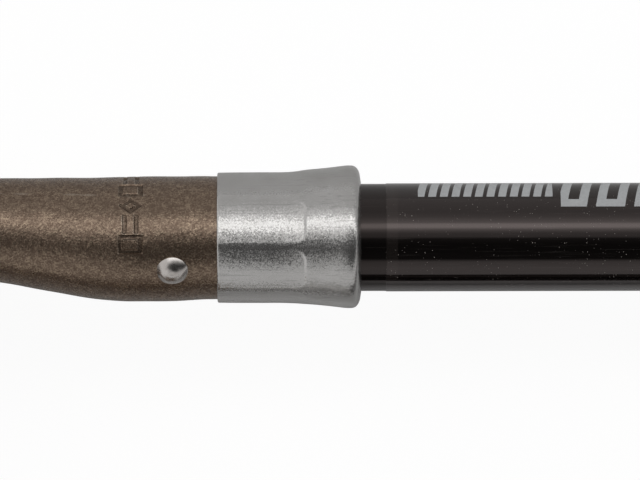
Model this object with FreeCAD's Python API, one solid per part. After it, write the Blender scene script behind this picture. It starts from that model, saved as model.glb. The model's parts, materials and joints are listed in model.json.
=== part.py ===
import FreeCAD, Part

import math
import os

from FreeCAD import Vector

# Clamshell post hole digger, in millimetres, lying on its side as it is put down.
# +X runs along the handles from the blades to the grips, +Y across the two halves and +Z up.
# Both heads are the same pressing: the right half is the left half turned half a turn about X.

# ---- the whole tool
OVERALL_LENGTH = 1500.0        # blade tips to the ends of the grips
TIP_REACH = 285.0              # hinge axis to the blade tips
HANDLE_SPACING = 116.0         # between the two handle axes when they are parallel

# ---- blade
HOLE_RADIUS = 76.0             # outside of the blades, so the radius of the hole they cut
SHEET = 2.6                    # thickness of the head's steel
BLADE_HALF_WIDTH = 66.0
CLOSED_GAP = 0.4               # between the two blades' edges when the tool is shut
OVERCUT = 1.0                  # how far a cutting shape reaches past what it cuts

# ---- handle shaft
SHAFT_RADIUS = 19.0
SHAFT_WALL = 5.0
SHAFT_CHAMFER = 1.0
CORE_FIT = 0.05                # radial clearance round the core and the end plug
CORE_LENGTH = 190.0

# ---- socket, rolled from the same sheet as the blade
SEAT_CLEARANCE = 0.2           # radial, between the shaft and the socket
SHAFT_END_MARGIN = 1.0         # from the shaft's end to where the socket starts to draw in
SEAT_SWELL = 0.75              # how far the socket's inner side stands out past its end
SWELL_RUN = 24.0
STRAIGHT_RUN = 30.0            # from the collar to where the inner side starts to draw in
SEAM_GAP = 1.2                 # between the rolled edges
NECK_OUTWARD = 21.25           # from the handle axis to the outside of the neck, away from the other half
NECK_INWARD = 14.8             # and on the side of the other half
NECK_RUN = 60.0                # length over which the inner side draws in to the neck
OUTWARD_START = 24.0           # from the collar to where the outer side starts to draw in
OUTWARD_RUN = 30.0
SHOULDER_RUN = 74.0            # length over which the neck opens into the blade
SOCKET_SECTIONS = 12           # runs between the sections that the drawn surfaces pass through
SHOULDER_SECTIONS = 10

# ---- collar
COLLAR_LENGTH = 50.7
COLLAR_WALL = 1.25             # at its small end
COLLAR_CLEARANCE = 0.1         # radial, on the socket and on the shaft
COLLAR_GROWTH = 0.15           # the barrel is this much larger where the flare starts
COLLAR_BARREL = 26.0           # length of the barrel before the flare
COLLAR_FLARE = 2.0             # how far the flare stands out past the barrel
COLLAR_FLARE_BOW = 0.42        # share of the flare reached halfway along it
COLLAR_EDGE = 0.4              # chamfer at the small end
COLLAR_LIP = 3.4               # length of the rounded lip
LIP_FULLNESS = 50.0            # degrees: 90 would be a quarter of an ellipse split at its corner
LIP_END_WALL = 2.2             # width of the collar's flat end face
COLLAR_GRIP_LENGTH = 35.0      # how much of the socket the collar covers
COLLAR_STEP_GAP = 0.5          # from the socket's end to the step in the collar's bore
FLAT_COUNT = 8
FLAT_LENGTH = 31.4
FLAT_ANGLE = 38.0              # degrees of the circle that each pressed flat takes
FLAT_CURVE = 34.0              # radius across a flat
FLAT_CORNER = 4.0
FLAT_TURN = 15.0               # degrees from +Z towards +Y to the first flat

# ---- socket rivet
RIVET_RADIUS = 3.1
RIVET_HOLE_CLEARANCE = 0.08
RIVET_HEAD_RADIUS = 5.5
RIVET_HEAD_HEIGHT = 2.3
RIVET_SKIRT = 0.45             # how deep each head's rim reaches to meet the round socket
RIVET_FROM_COLLAR = 15.7
RIVET_TURN = 31.6              # degrees from +Z towards the other handle

# ---- hinge
EAR_RADIUS = 18.0
EAR_HALF_BASE = 30.0
EAR_TO_SHOULDER = 2.0          # the shoulder starts this far past the ears
EAR_RUNNING_GAP = 0.1          # between an ear and the washer beside it
THRUST_WASHER = 1.5
THRUST_INSET = 4.0             # rim of the ear left bare round the thrust washer
SLEEVE_RADIUS = 7.0
SLEEVE_RUNNING_CLEARANCE = 0.08
BOLT_RADIUS = 5.0
BOLT_CLEARANCE = 0.1
BOLT_HEAD_FLATS = 16.0
BOLT_HEAD_HEIGHT = 6.4
HEX_CHAMFER = 0.3              # the turned face of a hexagon is this much inside its flats
BOLT_POINT = 2.5               # thread standing out of the nut
BOLT_POINT_CHAMFER = 0.8
WASHER_RADIUS = 11.0
WASHER_THICKNESS = 2.0
WASHER_CLEARANCE = 0.5         # radial, on the bolt
NUT_FLATS = 16.0
NUT_HEIGHT = 7.6
NUT_COLLAR_HEIGHT = 2.6        # round end that holds the nylon ring
NUT_COLLAR_RADIUS = 7.4
RING_RADIUS = 6.3
RING_LIP = 0.5                 # steel crimped over the nylon ring
THREAD_FIT = 0.02              # radial gap drawn between bolt, nut and ring

# ---- grip and label
GRIP_LENGTH = 260.0
GRIP_WALL = 3.5
GRIP_END = 6.0                 # thickness of the closed end
GRIP_END_ROUNDING = 3.0
GRIP_CUFF_ROUNDING = 1.2
GRIP_END_BAND = 46.0           # plain length at the closed end
GRIP_CUFF = 12.0               # plain length at the open end
GRIP_GROOVES = 12
GRIP_GROOVE_DEPTH = 1.2
GRIP_GROOVE_WIDTH = 5.0
GRIP_FIT = 0.05
PLUG_LENGTH = 30.0
FILM_FROM_COLLAR = 8.8
FILM_LENGTH = 330.0
FILM_THICKNESS = 0.15
FILM_FIT = 0.02

# ---- worked out from the values above
EAR_OUTER = BLADE_HALF_WIDTH                                   # outside of the outer ear
EAR_OUTER_INSIDE = EAR_OUTER - SHEET
THRUST_OUTSIDE = EAR_OUTER_INSIDE - EAR_RUNNING_GAP
EAR_INNER_OUTSIDE = THRUST_OUTSIDE - THRUST_WASHER - EAR_RUNNING_GAP
EAR_INNER_INSIDE = EAR_INNER_OUTSIDE - SHEET
HEAD_WASHER_INSIDE = EAR_OUTER + EAR_RUNNING_GAP
NUT_WASHER_OUTSIDE = EAR_INNER_INSIDE - EAR_RUNNING_GAP
BOLT_TOP = HEAD_WASHER_INSIDE + WASHER_THICKNESS + BOLT_HEAD_HEIGHT
NUT_FACE = NUT_WASHER_OUTSIDE - WASHER_THICKNESS

AXIS_HEIGHT = BOLT_TOP                                         # the lower bolt head is the foot
HINGE_X = TIP_REACH - OVERALL_LENGTH / 2
HANDLE_Y = HANDLE_SPACING / 2
BLADE_TOP_X = EAR_HALF_BASE + EAR_TO_SHOULDER                  # this and the X below are from the hinge
NECK_X = BLADE_TOP_X + SHOULDER_RUN
SEAT_OUTER = SHAFT_RADIUS + SEAT_CLEARANCE + SHEET
COLLAR_X = NECK_X + NECK_RUN + STRAIGHT_RUN
SOCKET_END_X = COLLAR_X + COLLAR_GRIP_LENGTH
SHAFT_START_X = COLLAR_X - OUTWARD_START + SHAFT_END_MARGIN
SHAFT_END_X = OVERALL_LENGTH - TIP_REACH - GRIP_END
RIVET_X = COLLAR_X - RIVET_FROM_COLLAR
COLLAR_OUTER = SEAT_OUTER + COLLAR_CLEARANCE + COLLAR_WALL
FILM_X = COLLAR_X + COLLAR_LENGTH + FILM_FROM_COLLAR
GRIP_RADIUS = SHAFT_RADIUS + GRIP_FIT + GRIP_WALL
BORE_RADIUS = SHAFT_RADIUS - SHAFT_WALL

X_AXIS = Vector(1, 0, 0)
Z_AXIS = Vector(0, 0, 1)


# ---- small helpers
def rod_x(radius, start, length):
    """A round bar on the left handle's axis."""
    return Part.makeCylinder(radius, length, Vector(start, HANDLE_Y, 0), X_AXIS)


def tube_x(outer, inner, start, length):
    return rod_x(outer, start, length).cut(rod_x(inner, start - OVERCUT, length + 2 * OVERCUT))


def disc_z(radius, low, high):
    return Part.makeCylinder(radius, high - low, Vector(0, 0, low), Z_AXIS)


def ring_z(outer, inner, low, high):
    return disc_z(outer, low, high).cut(disc_z(inner, low - OVERCUT, high + OVERCUT))


def hexagon_z(flats, low, high):
    corner = flats / math.sqrt(3)
    points = [
        Vector(corner * math.cos(math.radians(60 * i)), corner * math.sin(math.radians(60 * i)), low)
        for i in range(7)
    ]
    block = Part.Face(Part.makePolygon(points)).extrude(Vector(0, 0, high - low))
    # the corners of a bolt head and a nut are turned off at 30 degrees
    rim = flats / 2 - HEX_CHAMFER
    cone = Part.makeCone(rim + (high - low) * math.sqrt(3), rim, high - low, Vector(0, 0, low), Z_AXIS)
    return block.common(cone)


def blend(start, end, t):
    """From start at t 0 to end at t 1, level at both ends."""
    t = min(max(t, 0.0), 1.0)
    return start + (end - start) * t * t * (3 - 2 * t)


# ---- the head: one sheet, rolled into a socket at one end and left open as a blade at the other
def section(x):
    """Outer radius, half angle and Y of the outermost line of the sheet at x from the hinge."""
    back = COLLAR_X - x
    outward = blend(SEAT_OUTER, NECK_OUTWARD, (back - OUTWARD_START) / OUTWARD_RUN)
    swollen = blend(SEAT_OUTER, SEAT_OUTER + SEAT_SWELL, back / SWELL_RUN)
    inward = blend(swollen, NECK_INWARD, (back - STRAIGHT_RUN) / NECK_RUN)
    radius = (outward + inward) / 2
    half_length = math.pi * radius - SEAM_GAP / 2
    outermost = HANDLE_Y + outward
    opening = (NECK_X - x) / SHOULDER_RUN
    blade_half_length = HOLE_RADIUS * math.asin(BLADE_HALF_WIDTH / HOLE_RADIUS)
    curvature = blend(1 / radius, 1 / HOLE_RADIUS, opening)
    half_length = blend(half_length, blade_half_length, opening)
    outermost = blend(outermost, HOLE_RADIUS, opening)
    return 1 / curvature, half_length * curvature, outermost


def section_wire(x):
    """The closed outline of the sheet at x: an outer arc, an inner arc and the two sheet edges."""
    radius, half_angle, outermost = section(x)
    centre = outermost - radius

    def at(r, angle):
        return Vector(x, centre + r * math.cos(angle), r * math.sin(angle))

    inner = radius - SHEET
    outer_arc = Part.Arc(at(radius, -half_angle), at(radius, 0), at(radius, half_angle)).toShape()
    inner_arc = Part.Arc(at(inner, half_angle), at(inner, 0), at(inner, -half_angle)).toShape()
    first_edge = Part.makeLine(at(radius, half_angle), at(inner, half_angle))
    last_edge = Part.makeLine(at(inner, -half_angle), at(radius, -half_angle))
    return Part.Wire([outer_arc, first_edge, inner_arc, last_edge])


def drawn(start, length, count):
    """A smooth run of the sheet through evenly spaced sections."""
    wires = [section_wire(start + length * i / count) for i in range(count + 1)]
    return Part.makeLoft(wires, True, False)


def straight(start, length):
    """A run of the sheet in which the section does not change."""
    return Part.Face(section_wire(start)).extrude(Vector(length, 0, 0))


def rolled_sheet():
    runs = [
        straight(COLLAR_X, SOCKET_END_X - COLLAR_X),
        drawn(NECK_X, COLLAR_X - NECK_X, SOCKET_SECTIONS),
        drawn(BLADE_TOP_X, SHOULDER_RUN, SHOULDER_SECTIONS),
        straight(BLADE_TOP_X, -TIP_REACH - BLADE_TOP_X),
    ]
    return runs[0].fuse(runs[1:]).removeSplitter()


def ear(outside, inside, side):
    """A flat lug from the blade's edge to the hinge, side +1 above and -1 below."""
    edge_y = math.sqrt(HOLE_RADIUS**2 - outside**2)
    reach = math.hypot(edge_y, EAR_HALF_BASE)
    base = Vector(EAR_HALF_BASE, edge_y, 0)
    # where a line from the base corner touches the round end
    tangent_length = math.sqrt(reach**2 - EAR_RADIUS**2)
    angle = math.atan2(-base.y, -base.x) + math.asin(EAR_RADIUS / reach)
    touch = base + Vector(math.cos(angle), math.sin(angle), 0) * tangent_length
    mirror = Vector(-touch.x, touch.y, 0)
    wire = Part.Wire([
        Part.makeLine(base, touch),
        Part.Arc(touch, Vector(0, -EAR_RADIUS, 0), mirror).toShape(),
        Part.makeLine(mirror, Vector(-base.x, base.y, 0)),
        Part.makeLine(Vector(-base.x, base.y, 0), base),
    ])
    low = min(side * outside, side * inside)
    plate = Part.Face(wire).extrude(Vector(0, 0, outside - inside))
    plate.translate(Vector(0, 0, low))
    hole = disc_z(SLEEVE_RADIUS + SLEEVE_RUNNING_CLEARANCE, low - OVERCUT, low + SHEET + OVERCUT)
    return plate.cut(hole)


def shutting_cut():
    """Everything beyond the plane in which the two blades meet when the tool is shut."""
    size = 2 * TIP_REACH
    tip_inside = HOLE_RADIUS - SHEET
    angle = math.atan2(tip_inside, TIP_REACH) - math.asin(CLOSED_GAP / 2 / math.hypot(tip_inside, TIP_REACH))
    block = Part.makeBox(size, size, size, Vector(-size, -size, -size / 2))
    block.translate(Vector(0, CLOSED_GAP / 2, 0))
    block.rotate(Vector(0, 0, 0), Z_AXIS, -math.degrees(angle))
    # only the blade is cut: the ears reach across the plane to the hinge
    blade_side = Part.makeBox(size, 2 * size, size, Vector(-size - 2 * EAR_HALF_BASE, -size, -size / 2))
    return block.common(blade_side)


def lower_ear_trim():
    """Takes the blade's edge back to the inner ear's outer face, with slanted ends."""
    low, high = -BLADE_HALF_WIDTH - OVERCUT, -EAR_INNER_OUTSIDE
    step = high - low
    points = [
        Vector(-EAR_HALF_BASE - step, 0, low),
        Vector(-EAR_HALF_BASE, 0, high),
        Vector(EAR_HALF_BASE, 0, high),
        Vector(EAR_HALF_BASE + step, 0, low),
        Vector(-EAR_HALF_BASE - step, 0, low),
    ]
    return Part.Face(Part.makePolygon(points)).extrude(Vector(0, HOLE_RADIUS, 0))


def rivet_hole():
    return rivet_bar(RIVET_RADIUS + RIVET_HOLE_CLEARANCE, 3 * COLLAR_OUTER)


def blade_head():
    sheet = rolled_sheet().cut(lower_ear_trim())
    head = sheet.fuse([
        ear(EAR_OUTER, EAR_OUTER_INSIDE, 1),
        ear(EAR_INNER_OUTSIDE, EAR_INNER_INSIDE, -1),
    ])
    return head.cut(shutting_cut()).cut(rivet_hole()).removeSplitter()


# ---- the rivet lies across the handle axis, turned from +Z towards the other handle
def across_handle(shape):
    """Turns a shape built up +Z about the origin onto the rivet's line."""
    shape.rotate(Vector(0, 0, 0), X_AXIS, RIVET_TURN)
    shape.translate(Vector(RIVET_X, HANDLE_Y, 0))
    return shape


def rivet_bar(radius, length):
    return across_handle(disc_z(radius, -length / 2, length / 2))


def socket_reach(angle_from_z):
    """Distance from the handle axis to the socket's outside, at the rivet, in that direction."""
    radius, _, outermost = section(RIVET_X)
    centre = outermost - radius - HANDLE_Y
    along = centre * -math.sin(math.radians(angle_from_z))
    return along + math.sqrt(radius**2 - centre**2 + along**2)


def rivet():
    near = socket_reach(RIVET_TURN)
    far = socket_reach(RIVET_TURN + 180)
    bar = disc_z(RIVET_RADIUS, -far, near)
    # each head is a low dome: the cap of a sphere, sunk to meet the round socket all the way round
    sphere_radius = (RIVET_HEAD_RADIUS**2 + RIVET_HEAD_HEIGHT**2) / (2 * RIVET_HEAD_HEIGHT)

    def head(reach):
        dome = Part.makeSphere(sphere_radius, Vector(0, 0, reach + RIVET_HEAD_HEIGHT - sphere_radius))
        keep = disc_z(RIVET_HEAD_RADIUS, reach, reach + RIVET_HEAD_HEIGHT + OVERCUT)
        base = disc_z(RIVET_HEAD_RADIUS, reach - RIVET_SKIRT, reach)
        return dome.common(keep).fuse(base)

    upper = head(near)
    lower = head(far)
    lower.rotate(Vector(0, 0, 0), X_AXIS, 180)
    whole = across_handle(bar.fuse([upper, lower]))
    # the heads are set down onto the socket, so whatever would lie in its wall is taken away
    return whole.cut(socket_wall_round_rivet()).removeSplitter()


def socket_wall_round_rivet():
    """The socket's wall near the rivet, with the rivet's hole through it."""
    size = 4 * SEAT_OUTER
    block = Part.makeBox(size, size, size, Vector(RIVET_X - size / 2, HANDLE_Y - size / 2, -size / 2))
    return rolled_sheet().common(block).cut(rivet_hole())


# ---- collar
def collar():
    start = COLLAR_X
    end = start + COLLAR_LENGTH
    flare_start = start + COLLAR_BARREL
    lip_start = end - COLLAR_LIP
    step = SOCKET_END_X + COLLAR_STEP_GAP
    seat_bore = SEAT_OUTER + COLLAR_CLEARANCE
    shaft_bore = SHAFT_RADIUS + COLLAR_CLEARANCE
    barrel = COLLAR_OUTER + COLLAR_GROWTH
    rim = barrel + COLLAR_FLARE
    face = shaft_bore + LIP_END_WALL
    fullness = math.radians(LIP_FULLNESS)
    halfway = ((flare_start + lip_start) / 2, barrel + COLLAR_FLARE_BOW * COLLAR_FLARE)
    lip_middle = (lip_start + COLLAR_LIP * math.sin(fullness), face + (rim - face) * math.cos(fullness))

    def at(x, r):
        return Vector(x, HANDLE_Y + r, 0)

    def arc(first, middle, last):
        return Part.Arc(at(*first), at(*middle), at(*last)).toShape()

    inside = [
        at(end, face),
        at(end, shaft_bore),
        at(step, shaft_bore),
        at(step, seat_bore),
        at(start, seat_bore),
        at(start, COLLAR_OUTER - COLLAR_EDGE),
        at(start + COLLAR_EDGE, COLLAR_OUTER),
        at(flare_start, barrel),
    ]
    outline = Part.Wire(
        Part.makePolygon(inside).Edges
        + [arc((flare_start, barrel), halfway, (lip_start, rim)), arc((lip_start, rim), lip_middle, (end, face))]
    )
    body = Part.Face(outline).revolve(Vector(0, HANDLE_Y, 0), X_AXIS, 360)
    for i in range(FLAT_COUNT):
        body = body.cut(pressed_flat(FLAT_TURN + i * 360 / FLAT_COUNT))
    return body


def pressed_flat(angle):
    """What one flat takes off the collar: a rounded strip, down to a surface of large radius."""
    half_width = COLLAR_OUTER * math.sin(math.radians(FLAT_ANGLE / 2))
    chord = COLLAR_OUTER * math.cos(math.radians(FLAT_ANGLE / 2))
    sagitta = FLAT_CURVE - math.sqrt(FLAT_CURVE**2 - half_width**2)
    # the strip starts before the collar and stands from inside its wall to well outside it
    reach = 2 * FLAT_CORNER
    low = Vector(-reach, -half_width, chord - COLLAR_WALL)
    strip = Part.makeBox(FLAT_LENGTH + reach, 2 * half_width, reach, low)
    corners = [e for e in strip.Edges if is_far_corner(e, FLAT_LENGTH)]
    strip = strip.makeFillet(FLAT_CORNER, corners)
    axis_low = Vector(-2 * reach, 0, chord + sagitta - FLAT_CURVE)
    under = Part.makeCylinder(FLAT_CURVE, FLAT_LENGTH + 4 * reach, axis_low, X_AXIS)
    tool = strip.cut(under)
    tool.rotate(Vector(0, 0, 0), X_AXIS, -angle)
    tool.translate(Vector(COLLAR_X, HANDLE_Y, 0))
    return tool


def is_far_corner(edge, x):
    """True for the box edges that run radially at that x."""
    ends = [v.Point for v in edge.Vertexes]
    return all(abs(p.x - x) < 1e-6 for p in ends) and abs(ends[0].y - ends[1].y) < 1e-6


# ---- shaft, its core and plug, the grip and the label film
def shaft():
    body = rod_x(SHAFT_RADIUS, SHAFT_START_X, SHAFT_END_X - SHAFT_START_X)
    rims = [e for e in body.Edges if e.Curve.TypeId == "Part::GeomCircle"]
    body = body.makeChamfer(SHAFT_CHAMFER, rims)
    bore = rod_x(BORE_RADIUS, SHAFT_START_X - OVERCUT, SHAFT_END_X - SHAFT_START_X + 2 * OVERCUT)
    return body.cut(bore).cut(rivet_hole())


def shaft_core():
    core = rod_x(BORE_RADIUS - CORE_FIT, SHAFT_START_X, CORE_LENGTH)
    return core.cut(rivet_hole())


def end_plug():
    return rod_x(BORE_RADIUS - CORE_FIT, SHAFT_END_X - PLUG_LENGTH, PLUG_LENGTH)


def label_film():
    inner = SHAFT_RADIUS + FILM_FIT
    return tube_x(inner + FILM_THICKNESS, inner, FILM_X, FILM_LENGTH)


def grip():
    end = SHAFT_END_X + GRIP_END
    start = end - GRIP_LENGTH
    inner = SHAFT_RADIUS + GRIP_FIT
    body = rod_x(GRIP_RADIUS, start, GRIP_LENGTH)
    body = body.makeFillet(GRIP_END_ROUNDING, circles_between(body, end - OVERCUT, end + OVERCUT))
    body = body.makeFillet(GRIP_CUFF_ROUNDING, circles_between(body, start - OVERCUT, start + OVERCUT))
    body = body.cut(rod_x(inner, start - OVERCUT, GRIP_LENGTH - GRIP_END + OVERCUT))
    ribbed = GRIP_LENGTH - GRIP_END_BAND - GRIP_CUFF
    pitch = ribbed / GRIP_GROOVES
    for i in range(GRIP_GROOVES):
        middle = start + GRIP_CUFF + pitch * (i + 0.5)
        body = body.cut(groove(middle))
    return body


def circles_between(body, low, high):
    """The round edges whose X lies between low and high."""
    rounds = [e for e in body.Edges if e.Curve.TypeId == "Part::GeomCircle"]
    return [e for e in rounds if low < e.Vertexes[0].X < high]


def groove(middle):
    """A shallow round-bottomed groove round the grip."""
    half = GRIP_GROOVE_WIDTH / 2
    y = HANDLE_Y
    left = Vector(middle - half, y + GRIP_RADIUS, 0)
    right = Vector(middle + half, y + GRIP_RADIUS, 0)
    left_up = left + Vector(-OVERCUT, OVERCUT, 0)
    right_up = right + Vector(OVERCUT, OVERCUT, 0)
    arc = Part.Arc(left, Vector(middle, y + GRIP_RADIUS - GRIP_GROOVE_DEPTH, 0), right).toShape()
    wire = Part.Wire([
        arc,
        Part.makeLine(right, right_up),
        Part.makeLine(right_up, left_up),
        Part.makeLine(left_up, left),
    ])
    return Part.Face(wire).revolve(Vector(0, y, 0), X_AXIS, 360)


# ---- hinge hardware, above the tool's middle plane; the lower set is turned over
def pivot_bolt():
    head_low = BOLT_TOP - BOLT_HEAD_HEIGHT
    shank_low = NUT_FACE - NUT_HEIGHT - NUT_COLLAR_HEIGHT - BOLT_POINT
    shank = disc_z(BOLT_RADIUS, shank_low, head_low)
    point = [e for e in shank.Edges if e.BoundBox.ZMax < shank_low + BOLT_POINT_CHAMFER]
    shank = shank.makeChamfer(BOLT_POINT_CHAMFER, point)
    return shank.fuse(hexagon_z(BOLT_HEAD_FLATS, head_low, BOLT_TOP))


def washer(low):
    return ring_z(WASHER_RADIUS, BOLT_RADIUS + WASHER_CLEARANCE, low, low + WASHER_THICKNESS)


def pivot_sleeve():
    low = NUT_WASHER_OUTSIDE
    return ring_z(SLEEVE_RADIUS, BOLT_RADIUS + BOLT_CLEARANCE, low, HEAD_WASHER_INSIDE)


def thrust_washer():
    inner = SLEEVE_RADIUS + SLEEVE_RUNNING_CLEARANCE
    return ring_z(EAR_RADIUS - THRUST_INSET, inner, THRUST_OUTSIDE - THRUST_WASHER, THRUST_OUTSIDE)


def lock_nut():
    low = NUT_FACE - NUT_HEIGHT
    hexagon = hexagon_z(NUT_FLATS, -NUT_HEIGHT, 0)
    hexagon.translate(Vector(0, 0, NUT_FACE))
    hexagon.rotate(Vector(0, 0, NUT_FACE - NUT_HEIGHT / 2), X_AXIS, 180)
    collar_end = disc_z(NUT_COLLAR_RADIUS, low - NUT_COLLAR_HEIGHT, low)
    thread = disc_z(BOLT_RADIUS + THREAD_FIT, low - NUT_HEIGHT, NUT_FACE + OVERCUT)
    recess = disc_z(RING_RADIUS + THREAD_FIT, low - NUT_COLLAR_HEIGHT + RING_LIP, low + THREAD_FIT)
    return hexagon.fuse(collar_end).cut(thread).cut(recess)


def nut_ring():
    low = NUT_FACE - NUT_HEIGHT - NUT_COLLAR_HEIGHT + RING_LIP + THREAD_FIT
    return ring_z(RING_RADIUS, BOLT_RADIUS + THREAD_FIT, low, NUT_FACE - NUT_HEIGHT)


# ---- placing
def turned_over(shape):
    """The same piece turned half a turn about the tool's long middle line."""
    other = shape.copy()
    other.rotate(Vector(0, 0, 0), X_AXIS, 180)
    return other


def write(name, shape):
    placed = shape.copy()
    placed.translate(Vector(HINGE_X, 0, AXIS_HEIGHT))
    if not placed.isValid() or placed.Volume <= 0:
        print("not valid:", name)
    placed.exportStep(os.path.join("parts", name + ".step"))
    box = placed.BoundBox
    print(f"{name:22s} {placed.Volume:12.1f} mm3  solids {len(placed.Solids)}  "
          f"x {box.XMin:8.2f} {box.XMax:8.2f}  y {box.YMin:7.2f} {box.YMax:7.2f}  "
          f"z {box.ZMin:7.2f} {box.ZMax:7.2f}")


def main():
    os.makedirs("parts", exist_ok=True)
    half = {
        "blade_head": blade_head(),
        "collar": collar(),
        "socket_rivet": rivet(),
        "shaft": shaft(),
        "shaft_core": shaft_core(),
        "end_plug": end_plug(),
        "grip": grip(),
        "label_film": label_film(),
    }
    for name, shape in half.items():
        write("left_" + name, shape)
        write("right_" + name, turned_over(shape))
    hinge = {
        "pivot_bolt": pivot_bolt(),
        "head_washer": washer(HEAD_WASHER_INSIDE),
        "pivot_sleeve": pivot_sleeve(),
        "thrust_washer": thrust_washer(),
        "nut_washer": washer(NUT_FACE),
        "lock_nut": lock_nut(),
        "nut_ring": nut_ring(),
    }
    for name, shape in hinge.items():
        write("upper_" + name, shape)
        write("lower_" + name, turned_over(shape))


main()
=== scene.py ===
# %% [markdown]
# # A clamshell post hole digger
# The tool is two half-round blades on long handles, hinged face to face. The view is a close one
# of a single joint: the bronze-lacquered socket, the plated collar over its end, and the black
# glass-fibre handle with its printed film. Every piece sits where the imported CAD frame says.

import json
import math

import bmesh
import bpy
import numpy as np
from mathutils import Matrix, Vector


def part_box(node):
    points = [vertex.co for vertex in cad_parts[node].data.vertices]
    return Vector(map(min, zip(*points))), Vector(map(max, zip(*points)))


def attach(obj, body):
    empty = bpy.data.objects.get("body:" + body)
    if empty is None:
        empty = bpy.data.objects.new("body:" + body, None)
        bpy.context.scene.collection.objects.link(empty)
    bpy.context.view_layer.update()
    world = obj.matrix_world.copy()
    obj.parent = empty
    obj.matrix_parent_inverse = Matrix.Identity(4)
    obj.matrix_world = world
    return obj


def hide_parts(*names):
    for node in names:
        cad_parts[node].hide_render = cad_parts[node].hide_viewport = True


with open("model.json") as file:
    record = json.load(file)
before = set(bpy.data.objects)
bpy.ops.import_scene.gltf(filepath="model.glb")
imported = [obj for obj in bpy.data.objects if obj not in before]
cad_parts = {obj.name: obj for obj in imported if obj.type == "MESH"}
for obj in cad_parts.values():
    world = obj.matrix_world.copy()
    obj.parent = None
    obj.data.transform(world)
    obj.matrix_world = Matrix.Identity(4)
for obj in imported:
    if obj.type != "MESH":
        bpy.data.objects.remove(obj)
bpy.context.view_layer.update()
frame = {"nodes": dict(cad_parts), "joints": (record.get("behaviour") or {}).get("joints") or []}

# %% [markdown]
# ## Where things are
# The frame gives every place that the surfaces need: the hinge from its joint, and the handle's
# axis, the collar's small end and the shaft's radius from the boxes of the CAD nodes. They could be
# typed in again, but then a changed size would have to be changed twice. Lengths below are in
# millimetres, measured along the tool from the hinge, because that is how a maker would draw them;
# a mesh is turned into metres and moved to the hinge only as it is made.

# %% Read the places from the frame
MM = 0.001
hinge = np.array(frame["joints"][0]["pos_m"])


def middle(node):
    low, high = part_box(node)
    return (np.array(low) + np.array(high)) / 2


def edges_x(node):
    """Where a node starts and ends along the tool, in mm from the hinge."""
    low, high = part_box(node)
    return (low[0] - hinge[0]) / MM, (high[0] - hinge[0]) / MM


shaft_axis = middle("left_shaft")
HANDLE_Y = (shaft_axis[1] - hinge[1]) / MM
SHAFT_RADIUS = (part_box("left_shaft")[1][1] - shaft_axis[1]) / MM
collar_x, collar_end_x = edges_x("left_collar")
tip_x, socket_end_x = edges_x("left_blade_head")
shaft_x, shaft_end_x = edges_x("left_shaft")
film_x, film_end_x = edges_x("left_label_film")
grip_x, grip_end_x = edges_x("left_grip")
print("hinge", hinge, "handle y", round(HANDLE_Y, 3), "shaft radius", round(SHAFT_RADIUS, 3))
print("collar", collar_x, collar_end_x, "film from", film_x, "grip from", grip_x)

# %% [markdown]
# ## Blends and stretches
# Most shapes of a pressed and turned tool pass smoothly from one size to the next. A blend does
# that: it starts and ends level, so nothing shows where it begins. A grid needs its places close
# together where the shape is fine and far apart where it is plain, and stretches give them. An
# evenly spaced grid would be simpler, but it would spend most of its faces on plain parts.

# %% Blends and stretches
def blend(start, end, t):
    """From start at t 0 to end at t 1, level at both ends: t squared times (3 minus 2 t)."""
    t = np.clip(t, 0, 1)
    return start + (end - start) * t * t * (3 - 2 * t)


def stretches(first, *pieces):
    """Places along a line: a first one, then (end, greatest spacing) stretches after it."""
    places = [np.array([first], float)]
    for end, spacing in pieces:
        start = places[-1][-1]
        count = max(1, math.ceil(abs(end - start) / spacing))
        places.append(np.linspace(start, end, count + 1)[1:])
    return np.concatenate(places)


print("from 1 to 3, at a quarter and at half:", blend(1, 3, np.array([0.25, 0.5])))
print("two stretches:", stretches(0, (1, 0.5), (4, 1)))

# %% [markdown]
# ## Turning a grid of points into a piece
# Nearly every piece here is a surface of two parameters: one runs along the piece and one round
# it. numpy works out the whole grid of points at once, and this step joins neighbouring points
# into four-sided faces. Modelling by hand would also work, but a formula keeps the two halves
# identical and lets one number change a whole shape.

# %% From a grid to a piece
def grid_faces(rows, cols, close_rows, close_cols):
    """Four-sided faces between neighbouring points of a rows by cols grid, as indices."""
    r = np.arange(rows if close_rows else rows - 1)[:, None]
    c = np.arange(cols if close_cols else cols - 1)[None, :]
    r_next, c_next = (r + 1) % rows, (c + 1) % cols
    faces = np.stack([r * cols + c, r * cols + c_next, r_next * cols + c_next, r_next * cols + c], -1)
    return faces.reshape(-1, 4)


def make_piece(name, points, faces, corner_uv=None, pressed=None, crease=40):
    """A closed mesh from points in mm and faces, smooth but for creases sharper than the angle.
    corner_uv gives the map at every corner of every face, and pressed gives a value at every
    point; a finish may read either."""
    mesh = bpy.data.meshes.new(name)
    mesh.from_pydata((points * MM + hinge).tolist(), [], [list(f) for f in faces])
    if corner_uv is not None:
        layer = mesh.uv_layers.new(name="along_around")
        layer.data.foreach_set("uv", corner_uv.astype(np.float32).ravel())
    if pressed is not None:
        values = mesh.attributes.new("pressed", "FLOAT", "POINT")
        values.data.foreach_set("value", pressed.astype(np.float32))
    shape = bmesh.new()
    shape.from_mesh(mesh)
    bmesh.ops.recalc_face_normals(shape, faces=shape.faces)
    shape.to_mesh(mesh)
    shape.free()
    mesh.shade_smooth()
    mesh.set_sharp_from_angle(angle=math.radians(crease))
    piece = bpy.data.objects.new(name, mesh)
    bpy.context.scene.collection.objects.link(piece)
    print(f"{name}: {len(mesh.vertices)} points, {len(mesh.polygons)} faces")
    return piece


print("a grid of 3 by 4 points has", len(grid_faces(3, 4, False, False)), "faces")

# %% [markdown]
# ## Two halves from one
# On such a tool the two halves are the same pressing, and one is turned half a turn about the long
# middle line. A Mirror modifier would make a left-handed copy instead, so the points are turned.

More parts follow.
